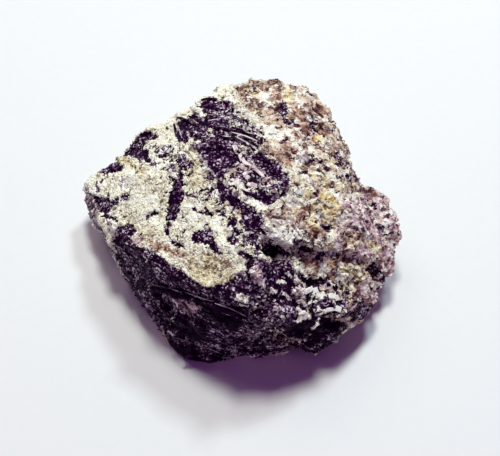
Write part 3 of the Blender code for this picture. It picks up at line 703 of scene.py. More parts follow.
class Graph:
    """A node tree of either kind, built node by node."""

    def __init__(self, tree: bpy.types.NodeTree) -> None:
        """Empties the tree and keeps it."""
        self.tree = tree
        tree.nodes.clear()

    def node(
        self,
        kind: str,
        settings: dict[str, Any] | None = None,
        inputs: dict[str, Any] | Sequence[Any] | None = None,
        stops: Stops | None = None,
    ) -> Made:
        """Adds a node.

        Args:
            kind: the node's type.
            settings: its own settings, which are set first.
            inputs: values or wires by socket name, or in the sockets' order.
            stops: a Color Ramp's stops, each its position and then its red, green and blue.

        Returns:
            The node.
        """
        made = self.tree.nodes.new(kind)
        for name, value in (settings or {}).items():
            setattr(made, name, value)
        if stops:
            self._set_stops(made.color_ramp, stops)
        sockets = [socket for socket in made.inputs if socket.enabled]
        if isinstance(inputs, dict):
            sockets = [next(socket for socket in sockets if socket.name == name) for name in inputs]
            inputs = list(inputs.values())
        for socket, value in zip(sockets, inputs or ()):
            if isinstance(value, Wire):
                self.tree.links.new(value.socket, socket)
            elif value is not None:
                socket.default_value = value
        return Made(self, made)

    @staticmethod
    def _set_stops(ramp: bpy.types.ColorRamp, stops: Stops) -> None:
        """Gives a ramp exactly these stops.

        Args:
            ramp: the ramp, which may have stops already.
            stops: each stop's position and then its red, green and blue.
        """
        while len(ramp.elements) > 1:
            ramp.elements.remove(ramp.elements[-1])
        ramp.elements[0].position = stops[0][0]
        for place, *_ in stops[1:]:
            ramp.elements.new(place)
        for element, (_, *colour) in zip(ramp.elements, stops):
            element.color = (*colour, 1.0)

    def step(self, value: Wire, low: float, high: float) -> Wire:
        """Returns 0 below low and 1 above high, with a smooth rise between."""
        ends = {"Value": value, "From Min": low, "From Max": high, "To Min": 0.0, "To Max": 1.0}
        return self.node("ShaderNodeMapRange", {"interpolation_type": "SMOOTHSTEP"}, ends)["Result"]

    def most(self, first: Wire, second: Wire) -> Wire:
        """Returns the greater of two numbers."""
        return self.node("ShaderNodeMath", {"operation": "MAXIMUM"}, [first, second])["Value"]

    def vector(self, operation: str, *inputs: Any) -> Wire:
        """Returns a Vector Math node's result for values or wires, in the sockets' order."""
        return self.node("ShaderNodeVectorMath", {"operation": operation}, inputs)["Vector"]

    def height(self, vector: Wire) -> Wire:
        """Returns how far up a vector reaches."""
        return self.node("ShaderNodeSeparateXYZ", None, {"Vector": vector})["Z"]

    def random(self, kind: str, low: Any, high: Any, seed: Wire) -> Wire:
        """Returns a number or vector, as kind says, that differs from point to point."""
        ends = {"Min": low, "Max": high, "Seed": seed}
        return self.node("FunctionNodeRandomValue", {"data_type": kind}, ends)["Value"]

    def mix(self, factor: Any, first: Any, second: Any) -> Wire:
        """Returns a colour between two, by factor."""
        settings = {"data_type": "RGBA", "clamp_factor": True}
        return self.node("ShaderNodeMix", settings, {"Factor": factor, "A": first, "B": second})["Result"]

    def ramp(self, tone: Wire, stops: Stops) -> Wire:
        """Returns the colour that a Color Ramp has at a tone."""
        return self.node("ShaderNodeValToRGB", None, {"Fac": tone}, stops)["Color"]

    def texture(self, where: Wire, size: float, detail: float = 2.0, rough: float = 0.5) -> Made:
        """Returns a Noise Texture whose features have this size in metres."""
        inputs = {"Vector": where, "Scale": 1.0 / size, "Detail": detail, "Roughness": rough}
        return self.node("ShaderNodeTexNoise", None, inputs)

    def noise(self, where: Wire, size: float, detail: float = 2.0, rough: float = 0.5) -> Wire:
        """Returns 0 to 1 noise whose features have this size in metres."""
        return self.texture(where, size, detail, rough)["Fac"]

    def uneven(self, where: Wire, *layers: tuple[float, float, float]) -> Wire:
        """Adds up layers of noise about 0.

        Args:
            where: the place.
            layers: each one's size in metres, its strength and its detail.

        Returns:
            The sum.
        """
        total, *others = [(self.noise(where, size, detail) - 0.5) * part for size, part, detail in layers]
        for other in others:
            total = total + other
        return total

    def cells(self, where: Wire, size: float, feature: str = "F1") -> Made:
        """Returns a Voronoi Texture whose cells have this size in metres."""
        inputs = {"Vector": where, "Scale": 1.0 / size}
        return self.node("ShaderNodeTexVoronoi", {"feature": feature}, inputs)

    def stretch(self, where: Wire, way: Vector, keep: float) -> Wire:
        """Returns a place whose share along a way is cut down to keep, so that patterns run long there."""
        part = self.node("ShaderNodeVectorMath", {"operation": "DOT_PRODUCT"}, [where, tuple(way)])["Value"]
        taken = self.vector("SCALE", tuple(way), part * (1.0 - keep))
        return self.vector("SUBTRACT", where, taken)

    def warp(self, where: Wire, size: float, reach: float) -> Wire:
        """Returns a place shifted by up to about reach, so that cells lose their straight borders."""
        shift = self.vector("SUBTRACT", self.texture(where, size, 1.0)["Color"], (0.5, 0.5, 0.5))
        return self.vector("MULTIPLY_ADD", shift, (2.0 * reach,) * 3, where)

    def finish(self, geometry: Wire, material: Wire) -> bpy.types.NodeTree:
        """Gives geometry its material, ends the tree with it and returns the tree."""
        dressed = {"Geometry": geometry, "Material": material}
        dressed = self.node("GeometryNodeSetMaterial", None, dressed)["Geometry"]
        self.node("NodeGroupOutput", None, {"Geometry": dressed})
        return self.tree

    def attribute(self, name: str) -> Wire:
        """Returns a number that a shader reads from the mesh."""
        return self.node("ShaderNodeAttribute", {"attribute_name": name})["Fac"]

    def named(self, name: str, data_type: str = "FLOAT") -> Wire:
        """Returns a value that Geometry Nodes read from the mesh."""
        settings = {"data_type": data_type}
        return self.node("GeometryNodeInputNamedAttribute", settings, {"Name": name})["Attribute"]


# ---- finishes ----


@dataclass(frozen=True)
class Ground:
    """The colours that the grains of one kind of ground have, from the darkest to the lightest.

    Attributes:
        mineral: what the ground is.
        stops: the colours by tone.
    """

    mineral: Mineral
    stops: Stops


PALE_STOPS: Stops = (
    (0.0, 0.04, 0.015, 0.04), (0.08, 0.13, 0.08, 0.1), (0.12, 0.52, 0.45, 0.34), (0.21, 0.84, 0.78, 0.6),
    (0.42, 0.95, 0.92, 0.73), (0.7, 0.99, 0.98, 0.87), (1.0, 1.0, 1.0, 0.98),
)
# Schorl's colours by tone: black, and at the top the painted glints of its faces.
SCHORL_AND_GLINT_STOPS: Stops = (
    (0.0, 0.008, 0.001, 0.011), (0.5, 0.016, 0.002, 0.021), (0.6, 0.04, 0.01, 0.044),
    (0.71, 0.165, 0.075, 0.155), (0.82, 0.51, 0.37, 0.47), (1.0, 0.97, 0.89, 0.95),
)
GROUNDS: tuple[Ground, ...] = (
    Ground(Mineral.SLOPE, (
        (0.0, 0.03, 0.01, 0.03), (0.12, 0.13, 0.06, 0.07), (0.26, 0.34, 0.2, 0.15),
        (0.42, 0.57, 0.41, 0.3), (0.58, 0.77, 0.64, 0.5), (0.78, 0.92, 0.85, 0.72),
        (1.0, 1.0, 0.98, 0.92),
    )),
    Ground(Mineral.GREY, (
        (0.0, 0.02, 0.005, 0.03), (0.35, 0.09, 0.04, 0.09), (0.6, 0.24, 0.16, 0.2),
        (0.8, 0.52, 0.43, 0.45), (1.0, 0.96, 0.91, 0.91),
    )),
    Ground(Mineral.ROSE, (
        (0.0, 0.04, 0.01, 0.03), (0.14, 0.19, 0.08, 0.12), (0.32, 0.42, 0.25, 0.28),
        (0.54, 0.65, 0.46, 0.48), (0.78, 0.87, 0.75, 0.76), (1.0, 1.0, 0.97, 0.95),
    )),
    Ground(Mineral.OCHRE, (
        (0.0, 0.05, 0.02, 0.03), (0.22, 0.33, 0.23, 0.14), (0.42, 0.7, 0.58, 0.36),
        (0.66, 0.88, 0.81, 0.58), (1.0, 0.99, 0.97, 0.84),
    )),
    Ground(Mineral.RUST, (
        (0.0, 0.03, 0.01, 0.02), (0.22, 0.16, 0.06, 0.06), (0.48, 0.44, 0.25, 0.18),
        (0.72, 0.68, 0.48, 0.37), (1.0, 0.94, 0.85, 0.75),
    )),
    Ground(Mineral.GOLD, (
        (0.0, 0.26, 0.13, 0.06), (0.2, 0.64, 0.43, 0.19), (0.44, 0.84, 0.68, 0.37),
        (0.72, 0.94, 0.87, 0.57), (1.0, 1.0, 0.98, 0.84),
    )),
    Ground(Mineral.WHITE, (
        (0.0, 0.1, 0.06, 0.08), (0.15, 0.5, 0.42, 0.36), (0.4, 0.86, 0.81, 0.7), (0.7, 0.98, 0.95, 0.86),
        (1.0, 1.0, 0.99, 0.95),
    )),
)
"""The grounds that lie on the pale one, in the order in which they cover each other."""


class Habit(Enum):
    """What a finish goes on."""

    SKIN = "skin"
    GRAIN = "grain"
    CRYSTAL = "crystal"
    COLUMN = "column"


@dataclass(frozen=True)
class StoneFinish:
    """Broken stone: the ground's colours by the mesh's mineral levels, with schorl through them, painted
    glints on the schorl and painted shade in the gaps between grains.

    Attributes:
        name: the material's name.
        habit: what the finish goes on, which says where schorl comes from.
        cell: the size of the skin's own grains, in metres.
        glint: the size of schorl's painted glints on the skin, and of the ground's small grains, in metres.
        stains: the sizes of the patches that each ground comes in, in metres.
        specks: the layers of noise that break up schorl's border on the skin.
        border: how wide the step is from one ground to the next, about a level of a half.
        sheen: how much light a crystal and other ground give back from their faces.
        cast: the colour of that light.
    """

    name: str
    habit: Habit
    cell: float = 0.62 * MM
    glint: float = 0.3 * MM
    stains: tuple[float, float] = (1.5 * MM, 1.15 * MM)
    specks: Layers = ((0.32 * MM, 1.5, 1.0), (0.8 * MM, 1.2, 1.0))
    border: float = 0.2
    sheen: tuple[float, float] = (0.01, 0.02)
    cast: tuple[float, float, float, float] = (0.6, 0.15, 0.65, 1.0)

    def make(self) -> bpy.types.Material:
        """Builds the material.

        Returns:
            The material, with every node in place.
        """
        material = bpy.data.materials.new(self.name)
        material.use_nodes = True
        graph = Graph(material.node_tree)
        where = graph.node("ShaderNodeTexCoord")["Object"]
        fine = graph.noise(where, 0.35 * MM)
        schorl = None
        if self.habit is Habit.COLUMN:
            colour = self._schorl_colour(graph, where, graph.attribute("tone"))
        else:
            colour = self._stone_colour(graph, where, fine)
        if self.habit is Habit.SKIN:
            schorl = self._schorl(graph, where)
            coarse = self._cells(graph, where, self.cell)
            colour = graph.mix(schorl, colour, self._schorl_colour(graph, where, coarse))
        looks = {
            "Base Color": colour,
            "Roughness": self._roughness(fine, schorl),
            "IOR": 1.6,
            "Specular IOR Level": self.sheen[0 if self.habit is Habit.COLUMN else 1],
            "Specular Tint": self.cast,
            "Normal": self._bump(graph, where),
        }
        surface = graph.node("ShaderNodeBsdfPrincipled", None, looks)
        graph.node("ShaderNodeOutputMaterial", None, {"Surface": surface["BSDF"]})
        return material

    @staticmethod
    def _bump(graph: Graph, where: Wire) -> Wire:
        """Returns the way out of a surface with a fine grain."""
        grain = {"Strength": 0.6, "Distance": 0.08 * MM, "Height": graph.noise(where, 0.28 * MM, 3.0)}
        return graph.node("ShaderNodeBump", None, grain)["Normal"]

    @staticmethod
    def _cells(graph: Graph, where: Wire, size: float) -> Wire:
        """Returns a number for each angular cell of this size."""
        cell = graph.cells(where, size)["Color"]
        return graph.node("ShaderNodeSeparateColor", None, {"Color": cell})["Red"]

    @staticmethod
    def _patches(graph: Graph, where: Wire, size: float) -> list[Wire]:
        """Returns three unlike patterns of patches of this size."""
        found = graph.texture(where, size)["Color"]
        split = graph.node("ShaderNodeSeparateColor", None, {"Color": found})
        return [split["Red"], split["Green"], split["Blue"]]

    def _painted_crevice_shade(self, graph: Graph, where: Wire) -> Wire:
        """Returns the painted shade in the gaps between grains: how much darker they are made."""
        edge = graph.cells(where, self.cell / 0.7, "DISTANCE_TO_EDGE")["Distance"]
        shaded_gaps = graph.step(graph.noise(where, 1.5 * MM), 0.5, 0.66)
        return (1.0 - graph.step(edge, 0.02, 0.11)) * (shaded_gaps * 0.6 + 0.03)

    def _schorl_colour(self, graph: Graph, where: Wire, tone: Wire) -> Wire:
        """Returns schorl's colours, with painted glints of small faces that catch the light, more of them in
        some places.
        """
        soft = graph.noise(where, 2.2 * MM, 1.0)
        tone = self._cells(graph, where, self.glint) * 0.62 + tone * 0.38 + (soft - 0.5) * 0.8
        # Darker, with fewer painted glints, where the darkest schorl and the painted shade of hollows lie.
        tone = tone - graph.attribute(Mineral.DEEP_AND_SHADE.value) * 0.3
        return graph.ramp(tone, SCHORL_AND_GLINT_STOPS)

    def _stone_colour(self, graph: Graph, where: Wire, fine: Wire) -> Wire:
        """Colours feldspar, mica and stains, grain by grain, with painted shade in the gaps between grains.

        Args:
            graph: the material's tree.
            where: the place on the object.
            fine: fine noise.

        Returns:
            The colour.
        """
        slope = graph.attribute(Mineral.SLOPE.value)
        where = graph.warp(where, 0.5 * MM, 0.3 * MM)
        where = graph.vector("SCALE", where, 1.0 - slope * 0.36)
        coarse = self._cells(graph, where, self.cell)
        small = self._cells(graph, where, self.glint)
        soft = graph.noise(where, 2.6 * MM)
        tone = coarse * 0.66 + small * 0.33 + (soft - 0.5) * 1.4 + (fine - 0.5) * 0.3
        if self.habit is Habit.GRAIN:
            tone = tone * (slope * 0.25 + 0.5) + graph.attribute("tone") * (0.65 - slope * 0.2) - 0.05
        if self.habit is Habit.CRYSTAL:
            tone = tone * 0.5 + graph.attribute("tone") - 0.27
        # Painted shade: the skin that shows between the slope's grains is made a little darker.
        if self.habit is Habit.SKIN:
            tone = tone - slope * 0.04
        # Painted shade: the gaps between grains on the slope and the rose ground are darkened.
        tone = tone - self._painted_crevice_shade(graph, where) * (slope + graph.attribute(Mineral.ROSE.value)) * 0.6
        patches = [pattern for size in self.stains for pattern in self._patches(graph, where, size)]
        colour = graph.ramp(tone, PALE_STOPS)
        for ground, patchy in zip(GROUNDS, patches + patches):
            here = graph.attribute(ground.mineral.value) + (patchy - 0.5) * 1.9 + (coarse - 0.5) * 0.4
            here = graph.step(here, 0.5 - self.border, 0.5 + self.border)
            colour = graph.mix(here, colour, graph.ramp(tone, ground.stops))
        return colour

    def _schorl(self, graph: Graph, where: Wire) -> Wire:
        """Returns 1 where schorl shows and 0 where it doesn't, with a ragged border."""
        level = graph.attribute(Mineral.SCHORL.value)
        return graph.step(level + graph.uneven(where, *self.specks), -0.1, 0.02)

    def _roughness(self, fine: Wire, schorl: Wire | None) -> Wire:
        """Returns how rough the surface is, where schorl may be mixed in."""
        if self.habit is Habit.COLUMN:
            return 0.3 + fine * 0.3
        if schorl is None:
            return 0.35 + fine * 0.5
        return 0.75 - schorl * (0.45 - fine * 0.2)


# ---- meshes ----


def bake(thing: bpy.types.Object) -> None:
    """Replaces an object's mesh with what its modifiers make of it, and removes them."""
    graph = bpy.context.evaluated_depsgraph_get()
    thing.data = bpy.data.meshes.new_from_object(thing.evaluated_get(graph))
    thing.modifiers.clear()


def add_object(name: str, mesh: bpy.types.Mesh) -> bpy.types.Object:
    """Returns a new object of the scene that holds a mesh."""
    thing = bpy.data.objects.new(name, mesh)
    bpy.context.scene.collection.objects.link(thing)
    return thing


def run_tree(thing: bpy.types.Object, tree: bpy.types.NodeTree, values: dict[str, Any]) -> None:
    """Runs a Geometry Nodes tree on an object and keeps the result.

    Args:
        thing: the object, whose mesh is replaced.
        tree: the tree.
        values: the tree's inputs by name.
    """
    sockets = {i.name: i.identifier for i in tree.interface.items_tree if i.in_out == "INPUT"}
    modifier = thing.modifiers.new(tree.name, "NODES")
    modifier.node_group = tree
    for name, value in values.items():
        modifier[sockets[name]] = value
    bake(thing)


def new_tree(name: str, sockets: dict[str, str]) -> tuple[Graph, Made]:
    """Makes a Geometry Nodes tree.

    Args:
        name: the tree's name.
        sockets: its inputs' names and socket types, after the geometry itself.

    Returns:
        The graph and its Group Input node.
    """
    tree = bpy.data.node_groups.new(name, "GeometryNodeTree")
    tree.interface.new_socket("Geometry", in_out="INPUT", socket_type="NodeSocketGeometry")
    for socket, kind in sockets.items():
        tree.interface.new_socket(socket, in_out="INPUT", socket_type=kind)
    tree.interface.new_socket("Geometry", in_out="OUTPUT", socket_type="NodeSocketGeometry")
    graph = Graph(tree)
    return graph, graph.node("NodeGroupInput")


def read(mesh: bpy.types.Mesh, what: str) -> np.ndarray:
    """Returns every vertex's co or normal, one a row."""
    values = np.empty(len(mesh.vertices) * 3, np.float32)
    mesh.vertices.foreach_get(what, values)
    return values.reshape(-1, 3).astype(float)


def write(mesh: bpy.types.Mesh, name: str, values: np.ndarray) -> None:
    """Stores numbers or vectors on a mesh's vertices."""
    kind, key = ("FLOAT", "value") if values.ndim == 1 else ("FLOAT_VECTOR", "vector")
    store = mesh.attributes.get(name) or mesh.attributes.new(name, kind, "POINT")
    store.data.foreach_set(key, values.astype(np.float32).ravel())


def add_hull(shape: bmesh.types.BMesh, corners: Iterable[Sequence[float]]) -> None:
    """Adds the convex body round some corners to a mesh.

    Args:
        shape: the mesh.
        corners: the corners. Those inside the body are left out.
    """
    hull = bmesh.ops.convex_hull(shape, input=[shape.verts.new(corner) for corner in corners])
    spare = set(hull["geom_interior"] + hull["geom_unused"])
    spare = [part for part in spare if isinstance(part, bmesh.types.BMVert)]
    bmesh.ops.delete(shape, geom=spare, context="VERTS")


def put_in_order(mesh: bpy.types.Mesh) -> None:
    """Sorts a mesh's points and faces, so that nothing depends on the order a remesh gives them in.

    Args:
        mesh: the mesh to sort.
    """
    points = read(mesh, "co")
    order = np.lexsort(points.T)
    rank = np.argsort(order)
    faces = []
    for face in mesh.polygons:
        corners = [int(rank[corner]) for corner in face.vertices]
        first = corners.index(min(corners))
        faces.append(corners[first:] + corners[:first])
    mesh.clear_geometry()
    mesh.from_pydata(points[order], [], sorted(faces))


def rest_on_floor(mesh: bpy.types.Mesh) -> None:
    """Flattens what lies under the floor's level onto it."""
    points = read(mesh, "co")
    points[:, 2] = np.maximum(points[:, 2], 0.0)
    mesh.vertices.foreach_set("co", points.astype(np.float32).ravel())
    mesh.update()


def smooth(mesh: bpy.types.Mesh, values: np.ndarray, rounds: int) -> np.ndarray:
    """Evens values out along a mesh's edges.

    Args:
        mesh: the mesh.
        values: a vector for each vertex, one a row.
        rounds: how many times each vertex is averaged with its neighbours.

    Returns:
        The evened values.
    """
    ends = np.empty(len(mesh.edges) * 2, np.int32)
    mesh.edges.foreach_get("vertices", ends)
    a, b = ends.reshape(-1, 2).T
    count = (np.bincount(a, minlength=len(values)) + np.bincount(b, minlength=len(values)))[:, None]
    for _ in range(rounds):
        total = np.zeros_like(values)
        np.add.at(total, a, values[b])
        np.add.at(total, b, values[a])
        values = (values + total / np.maximum(count, 1)) / 2
    return values


# ---- the stone ----


@dataclass
class StoneSkin:
    """The stone's broken surface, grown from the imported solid.

    Attributes:
        cell: the mesh's cell, in metres.
        sugar: how far the feldspar's grains stand out, in metres.
        lump: how far the brown slope's lumps do.
        ridge: how far the schorl's ridges do.
        uneven: how uneven the break is all over, in metres.
        inset: how far the ground lies under the solid, to make room for the grains and columns.
        grain_size: the size of the feldspar's grains, in metres.
        lump_size: the size of the brown slope's lumps, in metres.
        ridges: the layers of noise that the ridges are made of, across them.
        ridge_stretch: how much of a step along the ridges counts.
        foot: the heights between which the relief grows to its full strength, in metres.
        cuts: the flat walls that stand along the sight line, each from its left end, in millimetres.
    """

    cell: float = 0.31 * MM
    sugar: float = 0.16 * MM
    lump: float = 0.42 * MM
    ridge: float = 0.3 * MM
    uneven: float = 1.5 * MM
    inset: float = 0.12 * MM
    grain_size: float = 0.75 * MM
    lump_size: float = 1.5 * MM
    ridges: Layers = ((0.7 * MM, 2.0, 2.0), (2.4 * MM, 3.0, 1.0))
    ridge_stretch: float = 0.16
    foot: tuple[float, float] = (0.5 * MM, 4.0 * MM)
    cuts: tuple[tuple[Place, Place], ...] = (
        ((-25.9, -0.5), (-22.2, -8.6)),
        ((-22.2, -8.6), (-13.1, -22.0)),
        ((15.8, -18.6), (19.9, -16.1)),
        ((19.9, -16.1), (22.9, -11.9)),
    )
    minerals: MineralMap = MineralMap()

    def build(self, node: bpy.types.Object) -> bpy.types.Object:
        """Makes the skin.

        Args:
            node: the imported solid, which is only read.

        Returns:
            The finished piece.
        """
        shape = bmesh.new()
        shape.from_mesh(node.data)
        bmesh.ops.remove_doubles(shape, verts=shape.verts, dist=1e-6)
        mesh = bpy.data.meshes.new("stone_skin")
        shape.to_mesh(mesh)
        shape.free()
        skin = add_object("stone_skin", mesh)
        cells = skin.modifiers.new("cells", "REMESH")
        cells.mode = "VOXEL"
        cells.voxel_size = self.cell
        bake(skin)
        put_in_order(skin.data)
        self._map_minerals(skin.data)
        material = StoneFinish("broken_stone", Habit.SKIN).make()
        values = {
            "Sugar": self.sugar,
            "Lump": self.lump,
            "Ridge": self.ridge,
            "Uneven": self.uneven,
            "Inset": self.inset,
            "Finish": material,
        }
        run_tree(skin, self._relief_tree(), values)
        self._cut_walls(skin.data)
        write(skin.data, "out", smooth(skin.data, read(skin.data, "normal"), 2))
        skin.data.materials.clear()
        skin.data.materials.append(material)
        skin.data.shade_flat()
        return skin

    def _cut_walls(self, mesh: bpy.types.Mesh) -> None:
        """Flattens the walls that stand along the sight line, and rests the underside on the floor.

        Args:
            mesh: the skin's mesh, whose points move.
        """
        points = read(mesh, "co")
        for start, end in self.cuts:
            spots = SIGHT.to_plane(points) - start
            length = float(np.hypot(end[0] - start[0], end[1] - start[1]))
            way = (np.array(end) - start) / length
            along, beyond = spots @ way, spots @ np.array((way[1], -way[0]))
            near = np.clip(np.minimum(along, length - along) + 1.0, 0.0, 1.0)
            shift = np.maximum(beyond, 0.0) * near * MM
            points -= shift[:, None] * (np.array((way[1], 0.0, 0.0)) - way[0] * np.array(SIGHT.up))
        mesh.vertices.foreach_set("co", points.astype(np.float32).ravel())
        rest_on_floor(mesh)

    def _map_minerals(self, mesh: bpy.types.Mesh) -> None:
        """Stores the minerals' levels and the columns' way on the mesh.

        Args:
            mesh: the skin's mesh, before its relief.
        """
        points = read(mesh, "co")
        normals = smooth(mesh, read(mesh, "normal"), 12)
        normals /= np.linalg.norm(normals, axis=1)[:, None]
        for mineral, level in self.minerals.levels(points, normals).items():
            write(mesh, mineral.value, level)
        write(mesh, "columns_way", self.minerals.columns_way(points, normals))
        write(mesh, "hidden", self.minerals.hidden(normals))

    def _relief_tree(self) -> bpy.types.NodeTree:
        """Builds the tree that raises grains, lumps and ridges by the mineral they are made of.

        Returns:
            The tree, whose inputs are the heights and the finish.
        """
        names = ("Sugar", "Lump", "Ridge", "Uneven", "Inset")
        sockets = {name: "NodeSocketFloat" for name in names} | {"Finish": "NodeSocketMaterial"}
        graph, given = new_tree("stone_relief", sockets)
        place = graph.node("GeometryNodeInputPosition")["Position"]
        schorl = graph.step(graph.named(Mineral.SCHORL.value), -0.25, 0.35)
        coarse = graph.most(graph.named(Mineral.SLOPE.value), graph.named(Mineral.ROSE.value))
        above = graph.step(graph.height(place), *self.foot)
        grain = graph.cells(place, self.grain_size)["Distance"]
        lump = graph.cells(place, self.lump_size)
        tilt = graph.node("ShaderNodeSeparateXYZ", None, {"Vector": lump["Color"]})["X"]
        along = graph.stretch(place, self.minerals.grain_way.normalized(), self.ridge_stretch)
        ridges = graph.uneven(along, *self.ridges)
        sugar = (0.45 - grain) * given["Sugar"] * 2.0
        lumps = ((0.4 - lump["Distance"]) + (tilt - 0.5) * 1.3) * given["Lump"]
        uneven = (graph.noise(place, 3.2 * MM, 3.0, 0.6) - 0.5) * given["Uneven"]
        rise = (sugar + lumps * coarse) * (1.0 - schorl) + ridges * given["Ridge"] * schorl + uneven
        rise = (rise - given["Inset"] * (schorl * 3.5 + 1.0)) * (above * 0.8 + 0.2)
        offset = graph.vector("SCALE", graph.node("GeometryNodeInputNormal")["Normal"], rise)
        moved = {"Geometry": given["Geometry"], "Offset": offset}
        moved = graph.node("GeometryNodeSetPosition", None, moved)["Geometry"]
        return graph.finish(moved, given["Finish"])


HALF_TURN = 3.14
"""Half a turn in radians, to the two decimals that the bodies' turns need."""


class Form(Enum):
    """The broken shapes that grains and columns have."""

    CHIP = "chip"
    BLOCK = "block"
    COLUMN = "column"
    FLAKE = "flake"


@dataclass(frozen=True)
class FormSet:
    """A few different bodies of one form, which a piece repeats.

    Attributes:
        form: which form they have.
        count: how many different ones there are.
        seed: what makes them differ.
    """

    form: Form
    count: int
    seed: int

    def build(self) -> bpy.types.Collection:
        """Makes the bodies.

        Returns:
            A collection of them, each about one unit across.
        """
        kept = bpy.data.collections.new(self.form.value + "_forms")
        rng = np.random.default_rng(self.seed)
        for i in range(self.count):
            shape = bmesh.new()
            add_hull(shape, self._corners(rng))
            bmesh.ops.recalc_face_normals(shape, faces=shape.faces)
            mesh = bpy.data.meshes.new(f"{self.form.value}_{i}")
            shape.to_mesh(mesh)
            shape.free()
            kept.objects.link(bpy.data.objects.new(f"{self.form.value}_form_{i}", mesh))
        return kept

    def _corners(self, rng: np.random.Generator) -> np.ndarray:
        """Draws the corners of one body.

        Args:
            rng: what makes it differ from the last.

        Returns:
            The corners, one a row, about one unit across.
        """
        if self.form is Form.CHIP:
            spots = rng.normal(size=(8, 3))
            return spots / np.linalg.norm(spots, axis=1)[:, None] * 0.5 * rng.uniform(0.75, 1.1, (8, 1))
        if self.form is Form.BLOCK:
            cube = np.array([(x, y, z) for x in (-0.5, 0.5) for y in (-0.4, 0.4) for z in (-0.32, 0.32)])
            cube[:, 0] += cube[:, 1] * 0.25
            return cube + rng.uniform(-0.07, 0.07, cube.shape)
        if self.form is Form.FLAKE:
            turn = np.sort(rng.uniform(0, 2 * np.pi, 6))
            rim = np.stack([np.cos(turn), np.sin(turn) * 0.8, np.zeros(6)], axis=1) * 0.5
            return np.concatenate([rim + (0, 0, 0.06), rim * 0.95 - (0, 0, 0.06)])
        turn = np.arange(6) * np.pi / 3 + rng.uniform(-0.2, 0.2, 6)
        ring = np.stack([np.cos(turn) * 0.5, np.sin(turn) * 0.42, np.zeros(6)], axis=1)
        ends = [ring * rng.uniform(0.75, 1.0) + (0, 0, z) for z in (-0.5, 0.5)]
        for end in ends:
            end[:, 2] += end[:, 0] * rng.uniform(-0.25, 0.25)
        return np.concatenate(ends)


